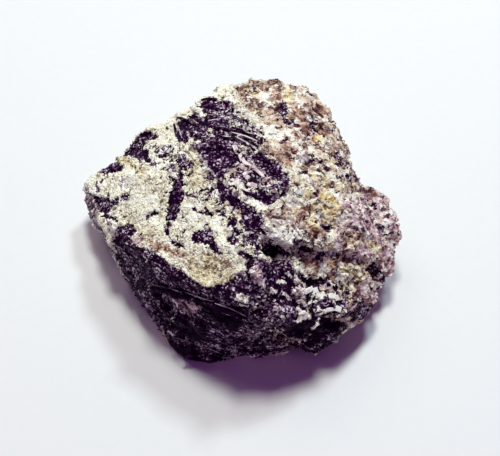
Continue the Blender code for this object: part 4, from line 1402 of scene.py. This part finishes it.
@dataclass
class Growth:
    """Grains, flakes or columns that cover part of the skin, as one mesh.

    Attributes:
        name: the piece's name.
        forms: the bodies that it repeats.
        habit: which finish it has.
        spacing: the least distance between two, in millimetres.
        smallest: the smallest one's size on each axis, in millimetres.
        largest: the largest one's.
        sink: how deep their middles lie, as a share of their size.
        seed: what places them.
        along: whether they lie along the columns' way.
        crowding: how many are tried for each square as wide as the spacing.
        sway: how far columns and flakes turn away from their way.
    """

    name: str
    forms: FormSet
    habit: Habit
    spacing: float
    smallest: tuple[float, float, float]
    largest: tuple[float, float, float]
    sink: float
    seed: int
    along: bool = False
    crowding: float = 1.6
    sway: tuple[float, float] = (0.18, 0.6)

    def build(self, skin: bpy.types.Object, share: np.ndarray) -> bpy.types.Object:
        """Grows the piece.

        Args:
            skin: the stone's skin, which is only read.
            share: how densely each of the skin's vertices is covered, 0 to 1.

        Returns:
            The finished piece.
        """
        piece = add_object(self.name, skin.data.copy())
        write(piece.data, "grow", np.clip(share, 0.0, 1.0))
        bodies = self.forms.build()
        material = StoneFinish(self.name + "_finish", self.habit).make()
        values = {
            "Forms": bodies,
            "Spacing": self.spacing * MM,
            "Smallest": tuple(side * MM for side in self.smallest),
            "Largest": tuple(side * MM for side in self.largest),
            "Sink": self.sink,
            "Seed": self.seed,
            "Finish": material,
        }
        run_tree(piece, self._tree(), values)
        rest_on_floor(piece.data)
        piece.data.materials.clear()
        piece.data.materials.append(material)
        for spare in ("grow", "out", "columns_way", "hidden"):
            if spare in piece.data.attributes:
                piece.data.attributes.remove(piece.data.attributes[spare])
        piece.data.shade_flat()
        for body in list(bodies.objects):
            bpy.data.objects.remove(body)
        bpy.data.collections.remove(bodies)
        return piece

    def _tree(self) -> bpy.types.NodeTree:
        """Builds the tree that places the bodies.

        Returns:
            The tree, which ends in one mesh with its finish.
        """
        sockets = {
            "Forms": "NodeSocketCollection",
            "Spacing": "NodeSocketFloat",
            "Smallest": "NodeSocketVector",
            "Largest": "NodeSocketVector",
            "Sink": "NodeSocketFloat",
            "Seed": "NodeSocketInt",
            "Finish": "NodeSocketMaterial",
        }
        graph, given = new_tree(self.name + "_growth", sockets)
        seed = given["Seed"]
        scatter = {
            "Mesh": given["Geometry"],
            "Distance Min": given["Spacing"],
            "Density Max": self.crowding / (self.spacing * MM) ** 2,
            "Density Factor": graph.named("grow"),
            "Seed": seed,
        }
        way = {"distribute_method": "POISSON"}
        spots = graph.node("GeometryNodeDistributePointsOnFaces", way, scatter)["Points"]
        out = graph.named("out", "FLOAT_VECTOR")
        size = graph.random("FLOAT_VECTOR", given["Smallest"], given["Largest"], seed + 5)
        bodies = {"Collection": given["Forms"], "Separate Children": True, "Reset Children": True}
        copies = {
            "Points": spots,
            "Instance": graph.node("GeometryNodeCollectionInfo", None, bodies)["Instances"],
            "Pick Instance": True,
            "Instance Index": graph.random("INT", 0, self.forms.count - 1, seed + 3),
            "Rotation": self._turn(graph, seed, out),
            "Scale": size,
        }
        placed = graph.node("GeometryNodeInstanceOnPoints", None, copies)["Instances"]
        long = graph.node("ShaderNodeSeparateXYZ", None, {"Vector": size})["X"]
        lower = graph.vector("SCALE", out, long * given["Sink"] * -1.0)
        lowered = {"Instances": placed, "Translation": lower, "Local Space": False}
        lowered = graph.node("GeometryNodeTranslateInstances", None, lowered)["Instances"]
        tone = {"Geometry": lowered, "Name": "tone", "Value": graph.random("FLOAT", 0.0, 1.0, seed + 9)}
        kept = {"data_type": "FLOAT", "domain": "INSTANCE"}
        toned = graph.node("GeometryNodeStoreNamedAttribute", kept, tone)["Geometry"]
        real = graph.node("GeometryNodeRealizeInstances", None, {"Geometry": toned})["Geometry"]
        return graph.finish(real, given["Finish"])

    def _turn(self, graph: Graph, seed: Wire, out: Wire) -> Wire:
        """Works out how each body is turned: along the columns' way, flat on the skin, or any way.

        Args:
            graph: the tree that places the bodies.
            seed: the tree's seed.
            out: the smoothed way out of the skin.

        Returns:
            The rotation.
        """
        flat = self.forms.form is Form.FLAKE
        if not self.along and not flat:
            spin = graph.random("FLOAT_VECTOR", (-HALF_TURN,) * 3, (HALF_TURN,) * 3, seed + 1)
            return graph.node("FunctionNodeEulerToRotation", None, {"Euler": spin})["Rotation"]
        way = graph.named("columns_way", "FLOAT_VECTOR") if self.along else out
        reach = self.sway[0 if self.along else 1]
        sway = graph.random("FLOAT_VECTOR", (-reach,) * 3, (reach,) * 3, seed + 1)
        way = {"Vector": graph.vector("ADD", way, sway)}
        laid = graph.node("FunctionNodeAlignRotationToVector", {"axis": "Z"}, way)["Rotation"]
        if flat:
            return laid
        about = {"Axis": (0.0, 0.0, 1.0), "Angle": graph.random("FLOAT", -HALF_TURN, HALF_TURN, seed + 2)}
        roll = graph.node("FunctionNodeAxisAngleToRotation", None, about)["Rotation"]
        return graph.node("FunctionNodeRotateRotation", {"rotation_space": "LOCAL"}, [laid, roll])["Rotation"]


LATH_RING: tuple[Place, ...] = (
    (0.5, 0.0), (0.3, 0.5), (-0.3, 0.5), (-0.5, 0.0), (-0.3, -0.5), (0.3, -0.5),
)
"""A lath's corners, across and up from its middle line, as shares of its width and half its height."""


@dataclass(frozen=True)
class Crystal:
    """A single lath or block that stands out, as the sight line shows it.

    Attributes:
        spots: where its middle line goes, each x and then y in tenths of a millimetre on the plane.
        width: how wide it is, in millimetres.
        mineral: what it is made of.
        tone: how light it is among its mineral's colours, 0 to 1.
    """

    spots: tuple[int, ...]
    width: float
    mineral: Mineral
    tone: float

    def places(self) -> list[Place]:
        """Walks along the line.

        Returns:
            Places on it, its corners among them, about a millimetre apart.
        """
        line = in_pairs(self.spots)
        found = [line[0]]
        for start, end in zip(line, line[1:]):
            steps = max(1, round(float(np.hypot(end[0] - start[0], end[1] - start[1]))))
            for k in range(1, steps + 1):
                share = k / steps
                found.append((start[0] + (end[0] - start[0]) * share, start[1] + (end[1] - start[1]) * share))
        return found


@dataclass
class Crystals:
    """Laths and blocks that are placed one by one.

    Attributes:
        name: the piece's name.
        crystals: what it is made of.
        habit: which finish it has.
        height: how high a crystal is, as a share of its width.
        taper: how wide its ends are, as a share of its width.
        lift: how high its middle stands above the skin, as a share of its width.
        seed: what makes their corners differ.
        chips: how many chips a broken block falls into, or 0 for whole laths.
        jitter: how far a lath's corners stray, as a share of its width.
    """

    name: str
    crystals: tuple[Crystal, ...]
    habit: Habit
    height: float
    taper: float
    lift: float
    seed: int
    chips: int = 0
    jitter: float = 0.09

    def build(self, skin: bpy.types.Object) -> bpy.types.Object:
        """Lays the crystals on the skin.

        Args:
            skin: the stone's skin, which is only read.

        Returns:
            The finished piece.
        """
        graph = bpy.context.evaluated_depsgraph_get()
        ground = BVHTree.FromObject(skin, graph)
        rng = np.random.default_rng(self.seed)
        shape = bmesh.new()
        made: list[tuple[Crystal, int]] = []
        for crystal in self.crystals:
            before = len(shape.verts)
            self._lay(shape, ground, crystal, rng)
            made.append((crystal, len(shape.verts) - before))
        bmesh.ops.recalc_face_normals(shape, faces=shape.faces)
        mesh = bpy.data.meshes.new(self.name)
        shape.to_mesh(mesh)
        shape.free()
        write(mesh, "tone", np.concatenate([np.full(count, crystal.tone) for crystal, count in made]))
        for mineral in Mineral:
            level = [np.full(count, 1.5 * float(crystal.mineral is mineral)) for crystal, count in made]
            write(mesh, mineral.value, np.concatenate(level))
        mesh.materials.append(StoneFinish(self.name + "_finish", self.habit).make())
        mesh.shade_flat()
        return add_object(self.name, mesh)

    def _lay(
        self, shape: bmesh.types.BMesh, ground: BVHTree, crystal: Crystal, rng: np.random.Generator
    ) -> None:
        """Adds one crystal along the stone's surface.

        Args:
            shape: the mesh that it goes into.
            ground: the stone's skin.
            crystal: the crystal.
            rng: what makes its corners differ.
        """
        hits = [ground.ray_cast(*SIGHT.ray(place)) for place in crystal.places()]
        hits = [(place, normal) for place, normal, _, _ in hits if place is not None]
        if len(hits) < 2:
            return
        out = sum((normal for _, normal in hits), Vector()) / len(hits) + SIGHT.back
        out.normalize()
        along = (hits[-1][0] - hits[0][0]).normalized()
        side = out.cross(along).normalized()
        width = crystal.width * MM
        if self.chips:
            self._break(shape, hits, Matrix((along, side, out)).transposed(), width, rng)
            return
        rings = []
        for i, (place, _) in enumerate(hits):
            size = width * (self.taper if i in (0, len(hits) - 1) else 1.0)
            strays = rng.uniform(-self.jitter, self.jitter, (len(LATH_RING), 3))
            ring = []
            for (across, high), (dx, dy, dz) in zip(LATH_RING, strays):
                corner = place + out * width * self.lift + side * size * (across + dx)
                corner += out * size * self.height * (high * 2.0 + dy) + along * width * dz
                ring.append(shape.verts.new(corner))
            rings.append(ring)
        for first, second in zip(rings, rings[1:]):
            for k in range(len(first)):
                shape.faces.new((first[k - 1], first[k], second[k], second[k - 1]))
        shape.faces.new(rings[0])
        shape.faces.new(rings[-1])

    def _break(
        self, shape: bmesh.types.BMesh, hits: list, frame: Matrix, width: float, rng: np.random.Generator
    ) -> None:
        """Adds a block as a few angular chips that lie close together.

        Args:
            shape: the mesh that the chips go into.
            hits: where the block's line meets the skin.
            frame: the block's length, width and height as columns.
            width: how wide the block is, in metres.
            rng: what makes the chips differ.
        """
        first, last = hits[0][0], hits[-1][0]
        length = (last - first).length
        for k in range(self.chips):
            share = (k + 0.5) / self.chips
            middle = first.lerp(last, share) + frame @ Vector(
                (0.0, rng.uniform(-0.2, 0.2) * width, (self.lift + rng.uniform(-0.08, 0.08)) * width)
            )
            long, wide = length / self.chips * rng.uniform(1.2, 1.7), width * rng.uniform(0.6, 0.95)
            size = np.array((long, wide, min(long, wide) * self.height * 2.0))
            corners = np.array([(x, y, z) for x in (-0.5, 0.5) for y in (-0.5, 0.5) for z in (-0.5, 0.5)])
            corners = corners * rng.uniform(0.7, 1.05, (8, 3))
            corners = np.concatenate([corners, rng.uniform(-0.52, 0.52, (5, 3))])
            turn = Euler(tuple(rng.uniform(-0.4, 0.4, 3))).to_matrix()
            add_hull(shape, [middle + frame @ (turn @ Vector(corner * size)) for corner in corners])


DARK_LATHS: tuple[Crystal, ...] = (
    Crystal((-77, 178, -44, 174, -12, 167), 0.62, Mineral.SCHORL, 0.3),
    Crystal((-81, 162, -53, 160, -23, 155), 0.53, Mineral.SCHORL, 0.3),
    Crystal((-32, 178, -7, 167, 21, 150), 0.53, Mineral.SCHORL, 0.2),
    Crystal((-25, 153, -4, 144, 19, 130), 0.53, Mineral.SCHORL, 0.3),
    Crystal((-39, 144, -21, 134, -5, 122), 0.70, Mineral.SCHORL, 0.2),
    Crystal((-130, 195, -109, 188, -86, 178), 0.62, Mineral.SCHORL, 0.4),
    Crystal((-109, 197, -88, 188, -65, 176), 0.62, Mineral.SCHORL, 0.2),
    Crystal((-134, 183, -130, 169, -122, 151), 0.62, Mineral.SCHORL, 0.3),
    Crystal((-122, 188, -116, 169, -111, 151), 0.62, Mineral.SCHORL, 0.2),
    Crystal((-176, -104, -116, -120, -67, -136, -12, -160), 0.79, Mineral.SCHORL, 0.1),
    Crystal((4, 125, 25, 120, 39, 111), 0.70, Mineral.SCHORL, 0.2),
    Crystal((35, 102, 49, 95, 60, 85), 0.62, Mineral.SCHORL, 0.3),
    Crystal((-51, 70, -35, 51, -18, 35), 0.70, Mineral.SCHORL, 0.2),
    Crystal((-158, -139, -123, -155, -77, -174), 0.70, Mineral.SCHORL, 0.2),
    Crystal((-130, -206, -95, -218, -49, -232), 0.70, Mineral.SCHORL, 0.1),
    Crystal((-11, 63, 11, 55, 35, 53), 0.70, Mineral.SCHORL, 0.2),
    Crystal((-95, 224, -77, 227, -58, 227), 0.53, Mineral.SCHORL, 0.2),
    Crystal((-127, 77, -125, 55, -136, 28), 0.70, Mineral.SCHORL, 0.2),
)
PALE_LATHS: tuple[Crystal, ...] = (
    # The first seven lie along the front face's ridges: pale laths that paint the ridges' glints.
    Crystal((-176, -99, -148, -104, -120, -113), 0.19, Mineral.GREY, 0.62),
    Crystal((-114, -112, -88, -122, -65, -129), 0.21, Mineral.GREY, 0.7),
    Crystal((-62, -132, -35, -141, -7, -155), 0.23, Mineral.GREY, 0.85),
    Crystal((-51, -147, -32, -153, -7, -162), 0.35, Mineral.GREY, 0.9),
    Crystal((-72, -185, -49, -196), 0.21, Mineral.GREY, 0.8),
    Crystal((-136, -192, -116, -197, -99, -203), 0.21, Mineral.GREY, 0.6),
    Crystal((-93, -206, -70, -213, -49, -222), 0.19, Mineral.GREY, 0.65),
    Crystal((-33, 168, -9, 161, 12, 153), 0.28, Mineral.WHITE, 0.6),
    Crystal((-31, 174, 4, 166), 0.23, Mineral.WHITE, 0.6),
    Crystal((-26, 161, 12, 140), 0.28, Mineral.GREY, 0.9),
    Crystal((1, 143, 15, 135), 0.35, Mineral.WHITE, 0.6),
    Crystal((-104, 194, -90, 181), 0.21, Mineral.GREY, 0.9),
    Crystal((-95, 199, -79, 191), 0.21, Mineral.GREY, 0.9),
    Crystal((-85, 160, -60, 161, -33, 160), 0.26, Mineral.WHITE, 0.5),
    Crystal((-74, 188, -58, 191), 0.21, Mineral.GREY, 0.9),
    Crystal((-15, 70, 4, 59), 0.23, Mineral.WHITE, 0.6),
    Crystal((-127, 180, -120, 158), 0.21, Mineral.GREY, 0.9),
    Crystal((-141, 173, -144, 151), 0.23, Mineral.WHITE, 0.6),
    Crystal((-100, 157, -106, 137, -97, 120), 0.53, Mineral.OCHRE, 0.6),
)
BLOCKS: tuple[Crystal, ...] = (
    Crystal((97, -111, 118, -107), 1.32, Mineral.WHITE, 0.85),
    Crystal((116, -120, 130, -118), 1.32, Mineral.WHITE, 0.85),
    Crystal((139, -122, 155, -120), 1.41, Mineral.WHITE, 0.75),
    Crystal((136, -144, 158, -143), 1.06, Mineral.WHITE, 0.9),
    Crystal((85, -151, 97, -150), 0.79, Mineral.WHITE, 0.8),
    Crystal((81, -106, 95, -116), 1.58, Mineral.ROSE, 0.75),
    Crystal((76, -51, 86, -48), 0.79, Mineral.GREY, 0.95),
    Crystal((53, -26, 65, -23), 0.88, Mineral.WHITE, 0.95),
    Crystal((37, -12, 48, -14), 0.79, Mineral.WHITE, 0.95),
    Crystal((41, -25, 51, -28), 0.70, Mineral.WHITE, 0.85),
    Crystal((67, -21, 72, -28), 0.70, Mineral.WHITE, 0.9),
    Crystal((60, -12, 69, -18), 0.70, Mineral.WHITE, 0.9),
    Crystal((85, 123, 102, 118), 1.94, Mineral.GREY, 0.9),
    Crystal((97, 88, 107, 81), 1.23, Mineral.GREY, 0.9),
    Crystal((18, 234, 32, 225), 1.41, Mineral.WHITE, 0.7),
    Crystal((25, 174, 46, 167), 1.41, Mineral.WHITE, 0.85),
    Crystal((19, 183, 28, 178), 0.88, Mineral.WHITE, 0.8),
    Crystal((32, 160, 44, 157), 0.88, Mineral.WHITE, 0.8),
    Crystal((7, -77, 19, -99), 1.23, Mineral.ROSE, 0.85),
    Crystal((-25, -123, -7, -129), 0.88, Mineral.WHITE, 0.6),
    Crystal((-18, -134, -4, -137), 0.62, Mineral.WHITE, 0.6),
    Crystal((-30, 141, -12, 125), 1.06, Mineral.ROSE, 0.8),
    Crystal((-33, 86, -21, 77), 0.88, Mineral.ROSE, 0.8),
    Crystal((-12, 95, -2, 88), 0.88, Mineral.ROSE, 0.95),
    Crystal((-2, 79, 11, 70), 0.88, Mineral.ROSE, 0.8),
    Crystal((16, 99, 25, 88), 0.79, Mineral.ROSE, 0.9),
    Crystal((-18, 109, -7, 102), 0.88, Mineral.ROSE, 0.65),
    Crystal((113, 39, 134, 28), 0.70, Mineral.GOLD, 0.75),
    Crystal((120, 28, 144, 16), 0.70, Mineral.GOLD, 0.85),
    Crystal((127, 49, 148, 37), 0.62, Mineral.GOLD, 0.8),
    Crystal((141, 32, 158, 26), 0.62, Mineral.GOLD, 0.7),
    Crystal((236, -72, 241, -77), 0.70, Mineral.WHITE, 0.9),
    Crystal((180, 39, 190, 26), 0.88, Mineral.ROSE, 0.8),
    Crystal((167, 28, 178, 21), 0.70, Mineral.ROSE, 0.9),
    Crystal((70, 55, 81, 48), 0.88, Mineral.WHITE, 0.7),
    Crystal((81, 67, 93, 60), 1.06, Mineral.WHITE, 0.7),
    Crystal((88, 49, 99, 42), 0.88, Mineral.WHITE, 0.6),
    Crystal((173, -65, 190, -70), 0.88, Mineral.OCHRE, 0.9),
    Crystal((164, -77, 180, -86), 0.88, Mineral.OCHRE, 0.8),
    Crystal((120, -60, 134, -67), 0.70, Mineral.WHITE, 0.7),
    Crystal((49, -93, 62, -100), 0.88, Mineral.WHITE, 0.6),
    Crystal((35, -107, 46, -114), 0.70, Mineral.WHITE, 0.6),
    Crystal((58, -116, 70, -125), 0.88, Mineral.ROSE, 0.7),
    Crystal((63, -77, 74, -85), 0.70, Mineral.WHITE, 0.7),
    Crystal((88, -127, 99, -136), 0.70, Mineral.WHITE, 0.6),
    Crystal((-21, 125, 2, 109), 0.70, Mineral.ROSE, 0.8),
    Crystal((0, 111, 23, 93), 0.70, Mineral.ROSE, 0.75),
    Crystal((-144, -180, -134, -188), 0.62, Mineral.WHITE, 0.8),
    Crystal((67, -218, 90, -213), 0.53, Mineral.ROSE, 0.8),
    Crystal((81, -141, 95, -151), 0.70, Mineral.ROSE, 0.75),
    Crystal((-164, -69, -158, -74), 0.53, Mineral.ROSE, 0.9),
)


BLOCK_GRAINS, CHIP_GRAINS = FormSet(Form.BLOCK, 6, 11), FormSet(Form.CHIP, 7, 12)
BACK_BLOCKS, SCHORL_CHIPS = FormSet(Form.BLOCK, 6, 13), FormSet(Form.CHIP, 6, 17)
COLUMNS, BACK_COLUMNS = FormSet(Form.COLUMN, 5, 14), FormSet(Form.COLUMN, 5, 15)
FLAKES = FormSet(Form.FLAKE, 5, 16)
GROWTHS: tuple[Growth, ...] = (
    Growth("feldspar_grains", BLOCK_GRAINS, Habit.GRAIN, 0.33, (0.3,) * 3, (0.72,) * 3, 0.34, 21),
    Growth("slope_grains", CHIP_GRAINS, Habit.GRAIN, 0.54, (0.5,) * 3, (1.5,) * 3, 0.22, 22),
    Growth("back_grains", BACK_BLOCKS, Habit.GRAIN, 0.5, (0.45,) * 3, (1.1,) * 3, 0.2, 23),
    Growth("schorl_chips", SCHORL_CHIPS, Habit.COLUMN, 0.45, (0.3,) * 3, (0.75,) * 3, 0.25, 27),
    Growth("schorl_columns", COLUMNS, Habit.COLUMN, 0.8, (0.15, 0.15, 0.6), (0.38, 0.38, 2.0), 0.2, 24, True),
    Growth("back_columns", BACK_COLUMNS, Habit.COLUMN, 0.7, (0.3, 0.3, 0.8), (0.7, 0.7, 1.9), 0.38, 25, True),
    Growth("mica_flakes", FLAKES, Habit.GRAIN, 0.8, (0.5,) * 3, (1.5,) * 3, 0.05, 26),
)
CRYSTALS: tuple[Crystals, ...] = (
    Crystals("dark_laths", DARK_LATHS, Habit.COLUMN, 0.5, 0.6, 0.12, 31),
    Crystals("pale_laths", PALE_LATHS, Habit.CRYSTAL, 0.6, 0.5, 0.5, 32),
    Crystals("pale_blocks", BLOCKS, Habit.CRYSTAL, 0.4, 0.85, 0.05, 33, chips=3),
)


@dataclass
class Stone:
    """The whole stone: its skin, and what grows in it.

    Attributes:
        node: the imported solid.
        bare_height: how high above the floor grains and columns start, in millimetres.
    """

    node: bpy.types.Object
    bare_height: float = 0.7

    def build(self) -> None:
        """Builds every piece and rides it on the stone's body."""
        skin = StoneSkin().build(self.node)
        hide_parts(NODE)
        self._keep(skin)
        shares = self._shares(skin)
        for growth in GROWTHS:
            self._keep(growth.build(skin, shares[growth.name]))
        for crystals in CRYSTALS:
            self._keep(crystals.build(skin))

    def _shares(self, skin: bpy.types.Object) -> dict[str, np.ndarray]:
        """Works out where each growth grows.

        Args:
            skin: the stone's skin, with the minerals' levels.

        Returns:
            How densely each growth covers each of the skin's vertices, by the growth's name.
        """
        at = {name: self._level(skin, name) for name in [m.value for m in Mineral] + ["hidden"]}
        bare = np.clip(0.1 - at["schorl"] * 2.5, 0.0, 1.0)
        black = np.clip(at["schorl"] * 2.5 + 0.1, 0.0, 1.0)
        seen = 1.0 - at["hidden"]
        slope = np.maximum(at["slope"], at["rose"])
        clear = np.clip(read(skin.data, "co")[:, 2] / MM - self.bare_height, 0.0, 1.0)
        shares = {
            "feldspar_grains": bare * seen * (1.0 - slope),
            "slope_grains": bare * seen * slope,
            "back_grains": bare * at["hidden"],
            "schorl_chips": black,
            "schorl_columns": black * np.clip(seen * 3.0 - 2.0, 0.0, 1.0),
            "back_columns": black * np.clip(at["hidden"] * 5.0 - 4.0, 0.0, 1.0),
            "mica_flakes": bare * slope * 0.6,
        }
        return {name: share * clear for name, share in shares.items()}

    @staticmethod
    def _level(skin: bpy.types.Object, name: str) -> np.ndarray:
        """Returns a level that the skin's vertices carry."""
        values = np.empty(len(skin.data.vertices), np.float32)
        skin.data.attributes[name].data.foreach_get("value", values)
        return values.astype(float)

    @staticmethod
    def _keep(piece: bpy.types.Object) -> None:
        """Rides a finished piece on the stone and reports it."""
        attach(piece, BODY)
        piece.data.calc_loop_triangles()
        log.info("%s: %d triangles", piece.name, len(piece.data.loop_triangles))


# ---- the studio ----


@dataclass(frozen=True)
class Lamp:
    """An area light that looks at the stone.

    Attributes:
        name: the light's name.
        azimuth: where it stands round the stone, in degrees from +X towards +Y.
        elevation: how high it stands, in degrees.
        size: its side, in metres.
        power: its power, in watts.
        colour: its colour.
        distance: how far off it is, in metres.
    """

    name: str
    azimuth: float
    elevation: float
    size: float
    power: float
    colour: Colour
    distance: float = 0.6

    @property
    def place(self) -> Vector:
        """Where the light is."""
        level = cos(radians(self.elevation)) * self.distance
        high = sin(radians(self.elevation)) * self.distance
        return Vector((cos(radians(self.azimuth)) * level, sin(radians(self.azimuth)) * level, high))

    def build(self) -> None:
        """Adds the light to the scene."""
        data = bpy.data.lights.new(self.name, "AREA")
        data.size, data.energy, data.color = self.size, self.power, self.colour
        thing = bpy.data.objects.new(self.name, data)
        bpy.context.scene.collection.objects.link(thing)
        thing.location = self.place
        thing.rotation_mode = "QUATERNION"
        thing.rotation_quaternion = (SIGHT.middle - self.place).to_track_quat("-Z", "Y")


@dataclass(frozen=True)
class Studio:
    """A pale floor, two small high lights, a wide one at the left, and a dim violet room.

    Attributes:
        lamps: the lights.
        room: the colour that lights the shadows.
        backdrop: the colour seen past the floor.
        floor_side: the floor's side, in metres.
        paper: the floor's two colours.
    """

    lamps: tuple[Lamp, ...] = (
        Lamp("overhead", 88.0, 77.0, 0.1, 2.1, (0.93, 0.99, 0.9)),
        Lamp("back", 62.0, 60.0, 0.09, 1.3, (0.78, 0.95, 0.96)),
        Lamp("left_back", 130.0, 57.0, 0.26, 0.45, (0.95, 1.0, 0.78)),
    )
    room: Colour = (0.1, 0.031, 0.132)
    backdrop: Colour = (0.66, 0.67, 0.72)
    floor_side: float = 0.56
    paper: tuple[Colour, Colour] = ((0.90, 0.905, 0.91), (0.93, 0.935, 0.935))

    def build(self) -> None:
        """Builds the studio and the camera."""
        self._floor()
        self._room()
        for lamp in self.lamps:
            lamp.build()
        self._camera()
        bpy.context.scene.view_settings.view_transform = "Standard"

    def _floor(self) -> None:
        """Adds the floor."""
        shape = bmesh.new()
        bmesh.ops.create_grid(shape, x_segments=1, y_segments=1, size=self.floor_side / 2)
        mesh = bpy.data.meshes.new("floor")
        shape.to_mesh(mesh)
        shape.free()
        floor = add_object("floor", mesh)
        paper = bpy.data.materials.new("white_paper")
        paper.use_nodes = True
        graph = Graph(paper.node_tree)
        where = graph.node("ShaderNodeTexCoord")["Object"]
        fibre = graph.noise(where, 1.5 * MM, 3.0)
        colour = graph.mix(fibre, *((*shade, 1.0) for shade in self.paper))
        surface = graph.node("ShaderNodeBsdfPrincipled", None, {"Base Color": colour, "Roughness": 0.9})
        graph.node("ShaderNodeOutputMaterial", None, {"Surface": surface["BSDF"]})
        floor.data.materials.append(paper)

    def _room(self) -> None:
        """Lights the shadows."""
        world = bpy.data.worlds.new("room")
        bpy.context.scene.world = world
        world.use_nodes = True
        graph = Graph(world.node_tree)
        glow, seen = (
            graph.node("ShaderNodeBackground", None, {"Color": (*colour, 1.0)})["Background"]
            for colour in (self.room, self.backdrop)
        )
        direct = graph.node("ShaderNodeLightPath")["Is Camera Ray"]
        both = graph.node("ShaderNodeMixShader", None, [direct, glow, seen])["Shader"]
        graph.node("ShaderNodeOutputWorld", None, {"Surface": both})

    def _camera(self) -> None:
        """Adds the camera at the sight line's eye."""
        data = bpy.data.cameras.new("camera")
        data.sensor_width = 36.0
        data.lens = data.sensor_width * SIGHT.distance / SIGHT.width
        data.clip_start = 0.01
        camera = bpy.data.objects.new("camera", data)
        bpy.context.scene.collection.objects.link(camera)
        camera.location = SIGHT.eye
        camera.rotation_mode = "QUATERNION"
        camera.rotation_quaternion = (-SIGHT.back).to_track_quat("-Z", "Y")
        bpy.context.scene.camera = camera


def main() -> None:
    """Builds the stone and its studio."""
    logging.basicConfig(level=logging.INFO, format="%(name)s: %(message)s")
    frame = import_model()
    Studio().build()
    Stone(frame["nodes"][NODE]).build()


if __name__ == "__main__":
    main()
